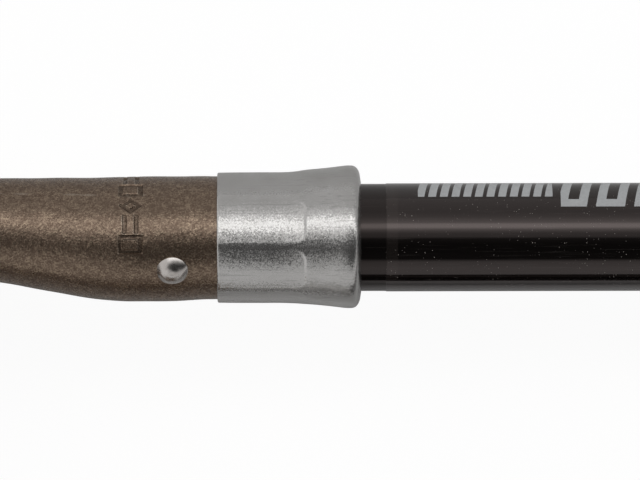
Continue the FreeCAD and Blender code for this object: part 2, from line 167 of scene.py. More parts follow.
# %% Two halves from one
HALVES = ("left", "right")


def turned_over(points):
    """The same points turned half a turn about the tool's long middle line: the other half."""
    return points * np.array([1.0, -1.0, -1.0])


def both_halves(node, slot, build, finish_name, **options):
    """Makes a piece for each half and lets it stand for that half's CAD node."""
    pieces = []
    for side in HALVES:
        points, *rest = build()
        if side == "right":
            points = turned_over(points)
        piece = make_piece(f"{side}_{finish_name}", points, *rest, **options)
        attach(piece, f"{side}_half")
        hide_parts(f"{side}_{node}")
        pieces.append(piece)
    return pieces


print("(1, 2, 3) turned over is", turned_over(np.array([1, 2, 3])))

# %% [markdown]
# ## The head: one sheet of steel
# The real head is cut from flat plate, pressed to a half-round blade at one end and rolled into a
# tube at the other. So the model is one sheet too. At every place along it the cross-section is
# an arc of a circle, and only three things change: the arc's radius, how far round it goes, and
# how far its outermost line stands from the middle of the tool. Between the tube and the blade the
# curvature (one over the radius) is blended, not the radius, because a bent sheet changes its
# curvature evenly. Bending a plane with modifiers would look alike, but would have no sizes to name.

# %% The sheet's cross-section along the tool
SHEET = 2.6
HOLE_RADIUS = 76.0
BLADE_HALF_WIDTH = 66.0
SEAM_GAP = 1.2
SOCKET_CLEARANCE = 0.2
SEAT_OUTER = SHAFT_RADIUS + SOCKET_CLEARANCE + SHEET
SEAT_SWELL = 0.75
SWELL_RUN = 24.0
NECK_OUTWARD = 21.25
OUTWARD_RUN = 30.0
NECK_INWARD = 14.8
INWARD_START = 30.0
INWARD_RUN = 60.0
NECK_X = collar_x - (INWARD_START + INWARD_RUN)
SHOULDER_RUN = 74.0


def section(x):
    """Radius, half angle and outermost line of the sheet's outer face at x. Each is a level blend
    of two fixed values over its own stretch of the tool."""
    back = collar_x - x
    outward = blend(SEAT_OUTER, NECK_OUTWARD, (back - SWELL_RUN) / OUTWARD_RUN)
    swollen = blend(SEAT_OUTER, SEAT_OUTER + SEAT_SWELL, back / SWELL_RUN)
    inward = blend(swollen, NECK_INWARD, (back - INWARD_START) / INWARD_RUN)
    radius = (outward + inward) / 2
    opening = (NECK_X - x) / SHOULDER_RUN
    blade_half_length = HOLE_RADIUS * math.asin(BLADE_HALF_WIDTH / HOLE_RADIUS)
    curvature = blend(1 / radius, 1 / HOLE_RADIUS, opening)
    half_length = blend(math.pi * radius - SEAM_GAP / 2, blade_half_length, opening)
    outermost = blend(HANDLE_Y + outward, HOLE_RADIUS, opening)
    return 1 / curvature, half_length * curvature, outermost


for place in (collar_x, collar_x - 45, NECK_X, NECK_X - SHOULDER_RUN):
    print("section at", round(place, 1), [round(float(v), 3) for v in section(place)])

# %% [markdown]
# ## Where the sheet ends
# The blade's edges are cut on a slant so that the two blades meet when the tool is shut, and the
# lower edge is cut back beside the hinge so that the two halves' ears can pass. Both cuts are
# planes. Instead of cutting a finished mesh, which leaves ragged triangles, the angle at which the
# arc reaches each plane is worked out, and the grid simply stops there.

# %% The edge of the sheet
EAR_HALF_BASE = 30.0
EAR_OUTER = BLADE_HALF_WIDTH
EAR_GAP = 0.1
THRUST_WASHER = 1.5
EAR_INNER = EAR_OUTER - SHEET - 2 * EAR_GAP - THRUST_WASHER
# How far the inner ear stands past the sheet's cut edge, so that the two share no plane.
EAR_COVERS = 0.06
CUT_CLEARANCE = 0.2
# About how long the slanted edge is; it turns the clearance at the tip into an angle.
SLANT_LENGTH = 295.0
LEAST_ANGLE = 0.02


def edge_angle(x, depth, upper):
    """The angle where the sheet ends, at x and at a depth below its outer face: the least of the
    rolled half angle, the shutting plane (arc cosine) and the notch beside the ears (arc sine)."""
    radius, half_angle, outermost = section(x)
    r = radius - depth
    slope = math.atan2(HOLE_RADIUS - SHEET, -tip_x) - CUT_CLEARANCE / SLANT_LENGTH
    plane_y = CUT_CLEARANCE / math.cos(slope) - x * math.tan(slope)
    centre = outermost - radius
    shut = np.arccos(np.clip((plane_y - centre) / r, -1, 1))
    angle = np.where(x < -2 * EAR_HALF_BASE, np.minimum(half_angle, shut), half_angle)
    if not upper:
        notch = (EAR_INNER - EAR_COVERS + np.maximum(np.abs(x) - EAR_HALF_BASE, 0)) / r
        angle = np.where(notch < 1, np.minimum(angle, np.arcsin(np.clip(notch, 0, 1))), angle)
    return np.maximum(angle, LEAST_ANGLE)


for upper in (True, False):
    print("edge beside the ears, degrees:", round(math.degrees(edge_angle(np.array(0.0), 0, upper)), 2))

# %% [markdown]
# ## The stamped marks
# Such a socket is often stamped while its plate is still flat. The stamp here is a row of plain
# frames, bars and lozenges. Each mark is worked out as a distance from its middle line, and the
# sheet is sunk where that distance is small. Marks could also be cut by a boolean or bumped by an
# image, but a distance keeps a clean edge on any grid, and sunk marks are shaded as real ones are.

# %% Stamped marks
STAMP_FROM, STAMP_TO = 26.2, 34.4
STAMP_DEPTH = 0.5
STAMP_RADIUS = 22.0
MARK_PITCH = math.radians(18.8)
MARK_HALF = math.radians(8.2)
MARK_BORDER = 0.3
LINE_INSET = 0.62
LOZENGE_LEAN = 0.75
FIRST_MARK = math.radians(-5.0)
MARKS = "FBLFBLF"


def stroke(distance, half_width=0.5, ramp=0.35):
    """1 inside a stroke and 0 outside, from the distance to its middle line, in mm."""
    return 1 - blend(0, 1, (np.abs(distance) - half_width) / ramp)


def stamped(back, turn):
    """How deep the stamp goes, from the distance behind the collar and the angle from +Z."""
    along = back - (STAMP_FROM + STAMP_TO) / 2
    tall = (STAMP_TO - STAMP_FROM) / 2
    deep = np.zeros(np.broadcast(back, turn).shape)
    for i, mark in enumerate(MARKS):
        across = (turn - FIRST_MARK - i * MARK_PITCH) * STAMP_RADIUS
        wide = MARK_HALF * STAMP_RADIUS
        box = np.maximum(np.abs(along) - tall, np.abs(across) - wide)
        inside = 1 - blend(0, 1, box / MARK_BORDER)
        if mark == "F":
            shape = stroke(box + LINE_INSET)
        elif mark == "B":
            shape = np.maximum(stroke(along - tall / 2), stroke(along + tall / 2)) * inside
        else:
            lozenge = (np.abs(along) / tall + np.abs(across) / wide - 1) * wide * LOZENGE_LEAN
            shape = stroke(lozenge + LINE_INSET) * inside
        deep = np.maximum(deep, shape)
    return deep


print(len(MARKS), "marks, each", round(2 * MARK_HALF * STAMP_RADIUS, 2), "mm wide")

# %% [markdown]
# ## The faces of the sheet
# The sheet has an outer and an inner face, which follow the same cross-sections one sheet's
# thickness apart. A Solidify modifier could give the thickness, but the cut edges would then stand
# square to the sheet instead of lying in the planes of the cuts. A rolled tube is never quite even,
# so a few slow waves are added to the outer face: they let the reflections waver as on real steel.

# %% Faces of the sheet
# Height in mm, mm along the tool for each radian, waves round the tube, and start.
PRESS_WAVES = [(0.05, 7.3, 2, 0), (0.04, 4.1, -3, 1), (0.03, 2.7, 5, 0)]
WAVES_SETTLE = 6.0
WAVES_FADE_FROM, WAVES_FADE_RUN = 90.0, 60.0


def hand_of_the_press(back, angle):
    """Slow unevenness of the rolled tube: a sum of waves, each a height times the sine of back
    over its length plus its waves times the angle. They fade out at the collar and past the neck."""
    fade = blend(1, 0, (back - WAVES_FADE_FROM) / WAVES_FADE_RUN) * blend(0, 1, back / WAVES_SETTLE)
    waves = [high * np.sin(back / run + around * angle + start) for high, run, around, start in PRESS_WAVES]
    return fade * sum(waves)


def sheet_face(x, share, depth):
    """Points of the sheet, share -1 (lower edge) to 1 (upper edge), depth below its outer face:
    the arc's centre plus (radius - depth) times (cosine, sine) of the angle."""
    radius, _, outermost = section(x)
    limit = np.where(share > 0, edge_angle(x, depth, True), edge_angle(x, depth, False))
    angle = share * limit
    r = radius - depth
    if depth == 0:
        back = collar_x - x
        r = r - STAMP_DEPTH * stamped(back, math.pi / 2 - angle) + hand_of_the_press(back, angle)
    centre = outermost - radius
    return np.stack([x + 0 * angle, centre + r * np.cos(angle), r * np.sin(angle)], -1)


middle_of_socket = sheet_face(np.array(collar_x - 12.0), np.array([0.5]), 0.0)[0]
print("a point of the socket, mm from the hinge:", middle_of_socket.round(2))

# %% [markdown]
# ## Building the head
# The grid is finest where the stamped marks are and where the tool is seen close up, and coarse on
# the far side and along the blade, so the whole head stays light. The outer face, the inner face
# and the edges between them are one closed ring of points at every place, and the two ends are
# closed by a strip of faces. A small bevel then rounds every edge, as on any pressed steel.

# %% Head grid
def head_places():
    """Places along the head, from the tip to the socket's end: close together where the clipped
    corner starts, at the notch beside the ears, and most of all at the stamped marks."""
    slope = (HOLE_RADIUS - SHEET) / -tip_x
    meets = -math.sqrt(HOLE_RADIUS**2 - BLADE_HALF_WIDTH**2) / slope
    return stretches(
        tip_x, (meets - 8, 8), (meets + 10, 1.5), (-40, 8), (-37, 3), (-EAR_HALF_BASE, 1),
        (EAR_HALF_BASE, 6), (EAR_HALF_BASE + 6, 1), (NECK_X - 8, 2.6), (collar_x - 35.4, 2),
        (collar_x - 25.4, 0.25), (collar_x + 1, 1.4), (socket_end_x, 6),
    )


def head_shares():
    """Shares of the way from the lower edge to the upper one, fine over the side seen close up."""
    return stretches(-1, (-0.1, 0.035), (0.62, 0.0043), (1, 0.03))


def head_grid():
    x = head_places()[:, None]
    share = head_shares()[None, :]
    outer = sheet_face(x, share, 0.0)
    turn = math.pi / 2 - share * np.where(share > 0, edge_angle(x, 0, True), edge_angle(x, 0, False))
    pressed = stamped(collar_x - x, turn)
    inner = sheet_face(x, share, SHEET)[:, ::-1]
    ring = np.concatenate([outer, inner], 1)
    rows, cols = ring.shape[:2]
    faces = list(grid_faces(rows, cols, False, True))
    k = np.arange(cols // 2 - 1)
    for row in (0, rows - 1):
        base = row * cols
        strip = np.stack([base + k, base + k + 1, base + cols - 2 - k, base + cols - 1 - k], -1)
        faces += list(strip if row == 0 else strip[:, ::-1])
    pressed = np.concatenate([pressed, 0 * pressed], 1)
    return ring.reshape(-1, 3), faces, pressed.ravel()


print("head grid:", len(head_places()), "places along by", len(head_shares()), "round")

# %% [markdown]
# ## The ears
# Each ear is a flat lug that reaches from the blade's edge to the hinge bolt. It could be cut from
# a disc and a triangle, but that leaves ragged faces at the hole. So it is laid out as rings round
# the bolt hole: the innermost ring is the hole, the outermost is the outline, and the outline's
# distance from the hole is known at every angle: the round end, then a straight side that leaves
# it at a tangent, then the base along the blade.

# %% Ear grid
EAR_RADIUS = 18.0
EAR_HOLE = 7.08
EAR_ROUNDING = 0.3
EAR_MARGIN = 1.6


def ear_outline(angle, base_y):
    """Distance from the hole's centre to the outline, angle 0 towards the blade."""
    corner = math.hypot(EAR_HALF_BASE, base_y)
    corner_angle = math.atan2(EAR_HALF_BASE, base_y)
    tangent = corner_angle + math.acos(EAR_RADIUS / corner)
    a = np.abs(angle)
    side = EAR_RADIUS / np.cos(np.clip(a - tangent, -1.5, 0))
    base = base_y / np.cos(np.clip(a, 0, corner_angle))
    return np.where(a < corner_angle, base, np.where(a < tangent, side, EAR_RADIUS))


def ear_grid(outside, side):
    """Rings from the hole to the outline on the outer face, and back on the inner face."""
    base_y = math.sqrt(HOLE_RADIUS**2 - outside**2)
    corner = math.atan2(EAR_HALF_BASE, base_y)
    half = np.concatenate([np.linspace(0, corner, 12), np.linspace(corner, math.pi, 60)[1:]])
    angle = np.concatenate([half, -half[1:-1][::-1]])
    edge = ear_outline(angle, base_y)
    hole = EAR_HOLE + 0 * edge
    top, low, c = side * outside, side * (outside - SHEET), side * EAR_ROUNDING
    rings = [(hole, top - c), (hole + EAR_ROUNDING, top)]
    rings += [(hole + (edge - hole) * s, top) for s in (0.3, 0.6)] + [(edge - EAR_MARGIN, top)]
    rings += [(edge - EAR_ROUNDING, top), (edge, top - c), (edge, low + c), (edge - EAR_ROUNDING, low)]
    rings += [(edge - EAR_MARGIN, low)] + [(hole + (edge - hole) * s, low) for s in (0.6, 0.3)]
    rings += [(hole + EAR_ROUNDING, low), (hole, low + c)]
    grid = np.array([np.stack([r * np.sin(angle), r * np.cos(angle), z + 0 * r], -1) for r, z in rings])
    rows, cols = grid.shape[:2]
    return grid.reshape(-1, 3), grid_faces(rows, cols, True, True)


print("an ear has", len(ear_grid(EAR_OUTER, 1)[0]), "points")

# %% [markdown]
# ## One head from the sheet and its ears
# The real head is one plate, ears and all. In the model the sheet and the two ears are closed
# shells that run into each other: each ear goes through the sheet to its outer face. A boolean
# union would join them, but it leaves long thin triangles that shade badly, and nothing of the
# inside shows. The inner ear lies a washer's and a sheet's thickness nearer the middle, because the
# other half's ear turns outside it.

# %% Make the heads
def blade_head():
    points, faces, pressed = head_grid()
    for outside, side in ((EAR_OUTER, 1), (EAR_INNER, -1)):
        more, ear_faces = ear_grid(outside, side)
        faces += list(ear_faces + len(points))
        points = np.vstack([points, more])
        pressed = np.append(pressed, np.zeros(len(more)))
    return points, faces, None, pressed


heads = both_halves("blade_head", "head_steel", blade_head, "rolled_head", crease=32)

# %% [markdown]
# ## Pieces turned on a lathe
# The collar, the handle, its film and the grip are all round, so each is an outline carried round
# the handle's axis. Blender's Screw modifier or Spin tool would turn an outline too. Turning it
# with numpy also lets the surface be pressed in or out at every point, and gives a map along and
# round the piece.

# %% Turn an outline
def turning(outline, angles, radius_shift=None):
    """Points of a turned piece on the left handle: each (x, radius) of the outline, carried round
    the handle's axis. radius_shift(x, radius, angle) may press the surface in or out."""
    x, r = np.array(outline, float).T
    x, r, a = x[:, None] + 0 * angles, r[:, None] + 0 * angles, 0 * r[:, None] + angles
    if radius_shift is not None:
        r = r + radius_shift(x, r, a)
    return np.stack([x, HANDLE_Y + r * np.sin(a), r * np.cos(a)], -1)


def pole_fans(points, rows, columns):
    """The points with one more in the middle of the first ring and of the last one, and the
    triangles that join each ring to its own."""
    j = np.arange(columns)
    k = (j + 1) % columns
    base = (rows - 1) * columns
    first_fan = np.stack([0 * j + len(points), k, j], -1)
    last_fan = np.stack([base + j, base + k, 0 * j + len(points) + 1], -1)
    fans = np.stack([first_fan, last_fan], 1).reshape(-1, 3)
    return np.vstack([points, points[:columns].mean(0), points[base:].mean(0)]), fans


def turned_piece(outline, columns, radius_shift=None, ends_meet=True):
    """A turned piece from a closed outline, with a map: mm run along the outline, and radians round
    the handle. An outline whose ends don't meet is closed at its two poles and gets no map."""
    angles = -math.pi + np.arange(columns) * 2 * math.pi / columns
    points = turning(outline, angles[None, :], radius_shift).reshape(-1, 3)
    rows = len(outline)
    faces = grid_faces(rows, columns, ends_meet, True)
    if not ends_meet:
        points, fans = pole_fans(points, rows, columns)
        return points, list(faces) + list(fans)
    run = np.concatenate([[0], np.cumsum(np.hypot(*np.diff(np.array(outline, float), axis=0).T))])
    row, turn = faces[:, 0] // columns, angles[faces[:, 0] % columns]
    here, there = run[row], np.append(run[1:], run[-1])[row]
    turn_on = turn + 2 * math.pi / columns
    corners = [(here, turn), (here, turn_on), (there, turn_on), (there, turn)]
    return points, faces, np.stack([np.stack(corner, -1) for corner in corners], 1).reshape(-1, 2)


square_ring = turned_piece([(0, 2), (0, 3), (1, 3), (1, 2)], 12)
print("a square ring of 12 columns has", len(square_ring[1]), "faces")

# %% [markdown]
# ## The collar
# The collar is a plated steel ring pressed over the socket's end: a plain barrel, then a flare with
# a rounded lip. It could be modelled from a cylinder by hand, but as an outline it needs only the
# points that a caliper would give, and a smooth curve goes through them.

# %% Collar outline
COLLAR_FIT = 0.1
COLLAR_SHEET = 1.25
COLLAR_BORE = SEAT_OUTER + COLLAR_FIT
COLLAR_OUTER = COLLAR_BORE + COLLAR_SHEET
# (mm from the small end, mm outside the barrel)
COLLAR_SHAPE = [
    (0.5, 0.0), (6.5, 0.07), (15, 0.1), (25, 0.18), (27.7, 0.34), (30.6, 0.6), (33.4, 0.84), (36.2, 1.08),
    (39, 1.36), (41.9, 1.7), (44.7, 2.04), (46.1, 2.14), (47.4, 2.12),
]
LIP = [
    (48.1, 1.98), (48.7, 1.7), (49.2, 1.25), (49.65, 0.65), (49.95, 0.05), (50.17, -0.6),
    (50.33, -1.3), (50.45, -2.1), (50.57, -2.9), (50.66, -3.5),
]
# The small end's edge: (mm from the end, mm under the barrel); the mouth's: (mm from the lip's end,
# mm over the bore).
START_ROUNDING = [(0, 0.45), (0.15, 0.12)]
MOUTH_ROUNDING = [(0.02, 0.3), (0.25, 0)]
STEP_GAP = 0.5


def smooth_through(points, places):
    """A curve through (x, y) points by cubic pieces whose slopes are the mean of their sides'."""
    x, y = np.array(points, float).T
    slope = np.gradient(y, x)
    i = np.clip(np.searchsorted(x, places) - 1, 0, len(x) - 2)
    h = x[i + 1] - x[i]
    t = (places - x[i]) / h
    a, b = y[i] * (1 + 2 * t) * (1 - t) ** 2, slope[i] * h * t * (1 - t) ** 2
    return a + b + y[i + 1] * t * t * (3 - 2 * t) + slope[i + 1] * h * t * t * (t - 1)


def collar_outline():
    """The closed outline: the small end, the barrel and flare, the lip, and back along the bore."""
    barrel = stretches(COLLAR_SHAPE[0][0], (29, 0.6), (33, 0.3), (COLLAR_SHAPE[-1][0], 0.5))
    rises = smooth_through(COLLAR_SHAPE, barrel)
    start = [(0, COLLAR_BORE)] + [(along, COLLAR_OUTER - under) for along, under in START_ROUNDING]
    outside = [(along, COLLAR_OUTER + rise) for along, rise in [*zip(barrel, rises), *LIP]]
    bore = SHAFT_RADIUS + COLLAR_FIT
    end = [(collar_end_x - back, bore + over) for back, over in MOUTH_ROUNDING]
    step = [(socket_end_x + STEP_GAP, bore), (socket_end_x + STEP_GAP, COLLAR_BORE)]
    return [(collar_x + along, r) for along, r in start + outside] + end + step


print("collar outline:", len(collar_outline()), "points")

# %% [markdown]
# ## The collar's pressed flats
# Eight shallow flats lie round the barrel, the marks of the jaws that closed it on the socket. A
# flat could be cut with a boolean, but jaws leave a soft border and a slightly bowed face. So the
# surface is moved inward instead: by the gap between the barrel and a flatter arc, which is
# greatest in the middle of each flat and fades to nothing over its rounded border.

# %% Press the flats and make the collars
FLATS = 8
FLAT_LENGTH = 31.2
FLAT_HALF = math.radians(19)
FLAT_SPREAD = 1.04
FLAT_CORNER = 4.2
FLAT_BOW = 30.0
FLAT_DEPTH = 0.05
FLAT_TURN = math.radians(15)
BORDER_START, BORDER_RUN = 0.55, 0.9
FLARE_START, FLARE_RUN, FLARE_LEAN = 25.0, 8.0, 0.25
# Only what lies this far outside the bore is pressed; the bore itself stays round.
OUTSIDE_FROM = 0.5
COLLAR_COLUMNS = 300


def pressed_flats(x, r, angle):
    """Minus the flat's depth: the gap between the barrel and an arc of FLAT_BOW radius whose middle
    lies aside, faded over a rounded border. The flare also leans a little: lean times sine of angle."""
    along = x - collar_x
    pitch = 2 * math.pi / FLATS
    off = np.abs((angle - FLAT_TURN + pitch / 2) % pitch - pitch / 2)
    chord = COLLAR_OUTER * math.cos(FLAT_HALF)
    half = COLLAR_OUTER * math.sin(FLAT_HALF)
    centre = chord + (FLAT_BOW - math.sqrt(FLAT_BOW**2 - half**2)) - FLAT_BOW
    flat_r = centre * np.cos(off) + np.sqrt(FLAT_BOW**2 - (centre * np.sin(off)) ** 2)
    depth = np.maximum(COLLAR_OUTER + FLAT_DEPTH - flat_r, 0)
    side = off * COLLAR_OUTER - (half * FLAT_SPREAD - FLAT_CORNER)
    end = along - (FLAT_LENGTH - FLAT_CORNER)
    border = np.hypot(np.maximum(side, 0), np.maximum(end, 0)) - FLAT_CORNER
    inside = blend(1, 0, (border + BORDER_START) / BORDER_RUN)
    leaning = FLARE_LEAN * np.sin(angle) * blend(0, 1, (along - FLARE_START) / FLARE_RUN)
    return np.where(r > COLLAR_BORE + OUTSIDE_FROM, leaning - depth * inside, 0)


def collar():
    return turned_piece(collar_outline(), COLLAR_COLUMNS, pressed_flats)


collars = both_halves("collar", "collar_zinc", collar, "plated_collar", crease=50)

# %% [markdown]
# ## The socket rivet
# One rivet goes right through the socket, the tube and its wooden core. Its head is a low dome
# with the faint ring and dimple that a rivet set leaves. A scaled sphere would be too round at the
# rim, so the dome is a profile turned about the rivet's own axis, which lies across the handle and
# leans towards the other half.

# %% Rivet profile
RIVET_RADIUS = 3.1
RIVET_HEAD = 5.5
RIVET_HEIGHT = 2.3
RIM_DEPTH, RIM_CHAMFER, RIM_SUNK = 0.35, 0.15, 0.6
# Radius, width and depth of the ring and of the dimple.
SET_MARKS = [(2.6, 0.6, 0.05), (0.0, 0.7, 0.1)]
RIVET_TURN = math.radians(31.6)
rivet_x = float((middle("left_socket_rivet")[0] - hinge[0]) / MM)


def socket_reach(turn):
    """Distance from the handle's axis to the socket's outside, turn measured from +Z towards -Y."""
    radius, _, outermost = section(rivet_x)
    shift = float(outermost - radius - HANDLE_Y)
    along = -shift * math.sin(turn)
    return along + math.sqrt(float(radius) ** 2 - shift**2 + along**2)


def rivet_dome(reach):
    """(distance along the rivet, radius) from the dome's middle down its rim to the bar: a cap of
    a sphere, less a bell curve for each mark of the rivet set."""
    ball = (RIVET_HEAD**2 + RIVET_HEIGHT**2) / (2 * RIVET_HEIGHT)
    r = np.concatenate([np.linspace(0.12, 4.9, 26), [5.2, 5.38, 5.47, RIVET_HEAD]])
    height = RIVET_HEIGHT - ball + np.sqrt(ball**2 - r**2)
    for radius, width, depth in SET_MARKS:
        height -= depth * np.exp(-(((r - radius) / width) ** 2))
    rim = [(reach - RIM_DEPTH, RIVET_HEAD), (reach - RIM_SUNK, RIVET_HEAD - RIM_CHAMFER)]
    return [(reach + h, q) for h, q in zip(height, r)] + rim + [(reach - RIM_SUNK, RIVET_RADIUS)]


print("the socket's outside is", round(socket_reach(RIVET_TURN), 2), "mm from the handle's axis")
print("dome profile:", len(rivet_dome(0.0)), "points")

# %% [markdown]
# ## Turning the rivet
# A rivet is struck by hand or by press, so its head is never a true circle. Noise would roughen the
# rim; two gentle waves round it give the slight lobes of a struck head. The two domes and the bar
# between them are one profile, closed at its two poles.

# %% Make the rivets
RIVET_COLUMNS = 72
# Share of the radius, lobes and start of each wave round the head.
HEAD_WAVES = [(0.012, 2, 0.6), (0.006, 5, 0.0)]
LOBED_FROM = RIVET_RADIUS + 0.2


def socket_rivet():
    """The profile (h, q) turned about the rivet's axis: h along it, q times (cosine, sine) across."""
    near = rivet_dome(socket_reach(RIVET_TURN))
    far = rivet_dome(socket_reach(RIVET_TURN + math.pi))
    h, q = np.array(near + [(-h, q) for h, q in far[::-1]]).T
    around = np.arange(RIVET_COLUMNS) * 2 * math.pi / RIVET_COLUMNS
    wobble = sum(share * np.sin(lobes * around + start) for share, lobes, start in HEAD_WAVES)
    on_head = np.where(q > LOBED_FROM, 1.0, 0.0)[:, None]
    q = q[:, None] * (1 + on_head * wobble)
    a, b = q * np.cos(around), q * np.sin(around)
    up, over = math.cos(RIVET_TURN), math.sin(RIVET_TURN)
    along = h[:, None] + 0 * a
    grid = np.stack([rivet_x + a, HANDLE_Y - along * over + b * up, along * up + b * over], -1)
    points, fans = pole_fans(grid.reshape(-1, 3), len(h), RIVET_COLUMNS)
    return points, list(grid_faces(len(h), RIVET_COLUMNS, False, True)) + list(fans)


rivets = both_halves("socket_rivet", "rivet_steel", socket_rivet, "set_rivet", crease=40)

# %% [markdown]
# ## The handle
# The handle is a straight glass-fibre tube with a small chamfer at each end. A cylinder with a
# Solidify modifier would do as well, but the outline also gives the chamfers and the bore that the
# wooden core fills at their exact sizes.

# %% Handle tube
CORE_FIT = 0.05
BORE_RADIUS = (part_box("left_shaft_core")[1][1] - shaft_axis[1]) / MM + CORE_FIT
TUBE_CHAMFER = 1.0
TUBE_COLUMNS = 160


def handle_tube():
    """A long thin rectangle beside the axis, chamfered outside, turned round the handle."""
    start, end, r = shaft_x, shaft_end_x, SHAFT_RADIUS
    outer = [(x, r) for x in np.linspace(start + TUBE_CHAMFER, end - TUBE_CHAMFER, 40)]
    inner_start = [(start, BORE_RADIUS), (start, r - TUBE_CHAMFER)]
    inner_end = [(end, r - TUBE_CHAMFER), (end, BORE_RADIUS)]
    return turned_piece(inner_start + outer + inner_end, TUBE_COLUMNS)


tubes = both_halves("shaft", "shaft_glassfibre", handle_tube, "handle_tube")

# %% [markdown]
# ## The film
# A printed film is shrunk round the handle beside the collar. It could be only a picture on the
# tube, but its edge catches the light, so it is a sleeve about a seventh of a millimetre thick.

# %% Film
FILM_GAP = 0.02
FILM_THICKNESS = 0.15
FILM_ROUNDING = 0.06


def film():
    """A very thin rectangle beside the axis, turned round the handle."""
    inner = SHAFT_RADIUS + FILM_GAP
    outer = inner + FILM_THICKNESS
    first, last = film_x + FILM_ROUNDING, film_end_x - FILM_ROUNDING
    start = [(film_x, inner), (film_x, outer - FILM_ROUNDING)]
    end = [(film_end_x, outer - FILM_ROUNDING), (film_end_x, inner)]
    return turned_piece(start + [(x, outer) for x in np.linspace(first, last, 24)] + end, TUBE_COLUMNS)


films = both_halves("label_film", "label_film", film, "printed_film")

# %% [markdown]
# ## The grip
# The grip is a moulded rubber sleeve with a plain cuff, round-bottomed grooves and a rounded,
# closed end. An Array of rings could repeat a groove, but one formula for the radius makes them
# all and keeps the sleeve one closed surface.

# %% Grip
GRIP_RADIUS = (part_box("left_grip")[1][1] - shaft_axis[1]) / MM
GRIP_GROOVES = 12
GROOVE_DEPTH = 1.2
GROOVE_HALF = 2.5
GRIP_CUFF = 12.0
GRIP_END_BAND = 46.0
GRIP_CORNER = 3.0
GRIP_FIT = 0.05
# The mouth's rounded edge: (mm from the mouth, mm under the grip), and where the grip is full.
MOUTH_EDGE = [(0, 1.1), (0.35, 0.35)]
MOUTH_RUN = 1.2
END_DISH_RADIUS, END_DISH_DEPTH = 12.0, 0.6
POLE_RADIUS = 0.3
GRIP_COLUMNS = 112


def grip():
    """Radius less groove depth times (1 minus the square of the way across a groove), from the
    mouth to the closed end, turned round the handle."""
    pitch = (grip_end_x - grip_x - GRIP_CUFF - GRIP_END_BAND) / GRIP_GROOVES
    first, last = grip_x + GRIP_CUFF, grip_x + GRIP_CUFF + pitch * GRIP_GROOVES
    x = stretches(grip_x + MOUTH_RUN, (first, 2), (last, 0.7), (grip_end_x - GRIP_CORNER, 4))
    across = ((x - first) / pitch % 1 - 0.5) * pitch / GROOVE_HALF
    r = GRIP_RADIUS - GROOVE_DEPTH * np.where((x > first) & (x < last), np.clip(1 - across**2, 0, 1), 0)
    inner = SHAFT_RADIUS + GRIP_FIT
    mouth = [(shaft_end_x, POLE_RADIUS), (shaft_end_x, inner), (grip_x, inner)]
    mouth += [(grip_x + along, GRIP_RADIUS - down) for along, down in MOUTH_EDGE]
    turn = np.linspace(0, math.pi / 2, 8)[1:]
    corner_x, corner_r = grip_end_x - GRIP_CORNER, GRIP_RADIUS - GRIP_CORNER
    corner = [(corner_x + GRIP_CORNER * math.sin(t), corner_r + GRIP_CORNER * math.cos(t)) for t in turn]
    dish_x = grip_end_x - END_DISH_DEPTH
    dish = [(grip_end_x, END_DISH_RADIUS), (dish_x, END_DISH_RADIUS - 1), (dish_x, POLE_RADIUS)]
    return turned_piece(mouth + list(zip(x, r)) + corner + dish, GRIP_COLUMNS, ends_meet=False)


grips = both_halves("grip", "grip_rubber", grip, "moulded_grip")

# %% [markdown]
# ## Building materials from nodes
# A material is a small graph. It could be wired by hand in the Shader Editor. Written down, it can
# be read, compared and changed, so these helpers add a node, set its values and wire other nodes
# into it in one line, and each finish below reads as a recipe.

# %% Node helpers
def put(tree, kind, values=None, **settings):
    """Adds a node. values maps an input's name or number to a value or to another node's output."""
    node = tree.nodes.new(kind)
    for key, value in settings.items():
        setattr(node, key, value)
    for key, value in (values or {}).items():
        if isinstance(value, bpy.types.NodeSocket):
            tree.links.new(value, node.inputs[key])
        else:
            node.inputs[key].default_value = value
    return node


def maths(tree, operation, *values, clamp=False):
    """One Math node's output."""
    node = put(tree, "ShaderNodeMath", dict(enumerate(values)), operation=operation, use_clamp=clamp)
    return node.outputs[0]


def times(tree, first, second, clamp=False):
    """The product of two values."""
    return maths(tree, "MULTIPLY", first, second, clamp=clamp)


def ramp(tree, value, stops):
    """A colour ramp through (place, grey or colour) stops."""
    node = put(tree, "ShaderNodeValToRGB", {0: value})
    points = node.color_ramp.elements
    while len(points) < len(stops):
        points.new(0.5)
    for point, (place, colour) in zip(points, stops):
        point.position = place
        shade = (colour, colour, colour) if isinstance(colour, (int, float)) else colour
        point.color = (*shade, 1)
    return node.outputs[0]


def mix_colours(tree, share, first, second):
    """First colour where share is 0, second where it is 1."""
    node = put(tree, "ShaderNodeMix", data_type="RGBA")
    for socket, value in ((node.inputs[0], share), (node.inputs[6], first), (node.inputs[7], second)):
        if isinstance(value, bpy.types.NodeSocket):
            tree.links.new(value, socket)
        else:
            socket.default_value = (*value, 1) if isinstance(value, tuple) else value
    return node.outputs[2]


scrap = bpy.data.node_groups.new("scrap", "ShaderNodeTree")
print("a product is one node:", times(scrap, 2.0, 3.0).node.bl_label)
bpy.data.node_groups.remove(scrap)

# %% [markdown]
# ## Effects as node groups
# An effect that several finishes share is built once, as a node group with named inputs, and each
# finish places it with its own values. Copying the nodes into every material would work too, but a
# change would then have to be made in every copy.

# %% Make and use a node group
MM_IN_METRE = 1000.0


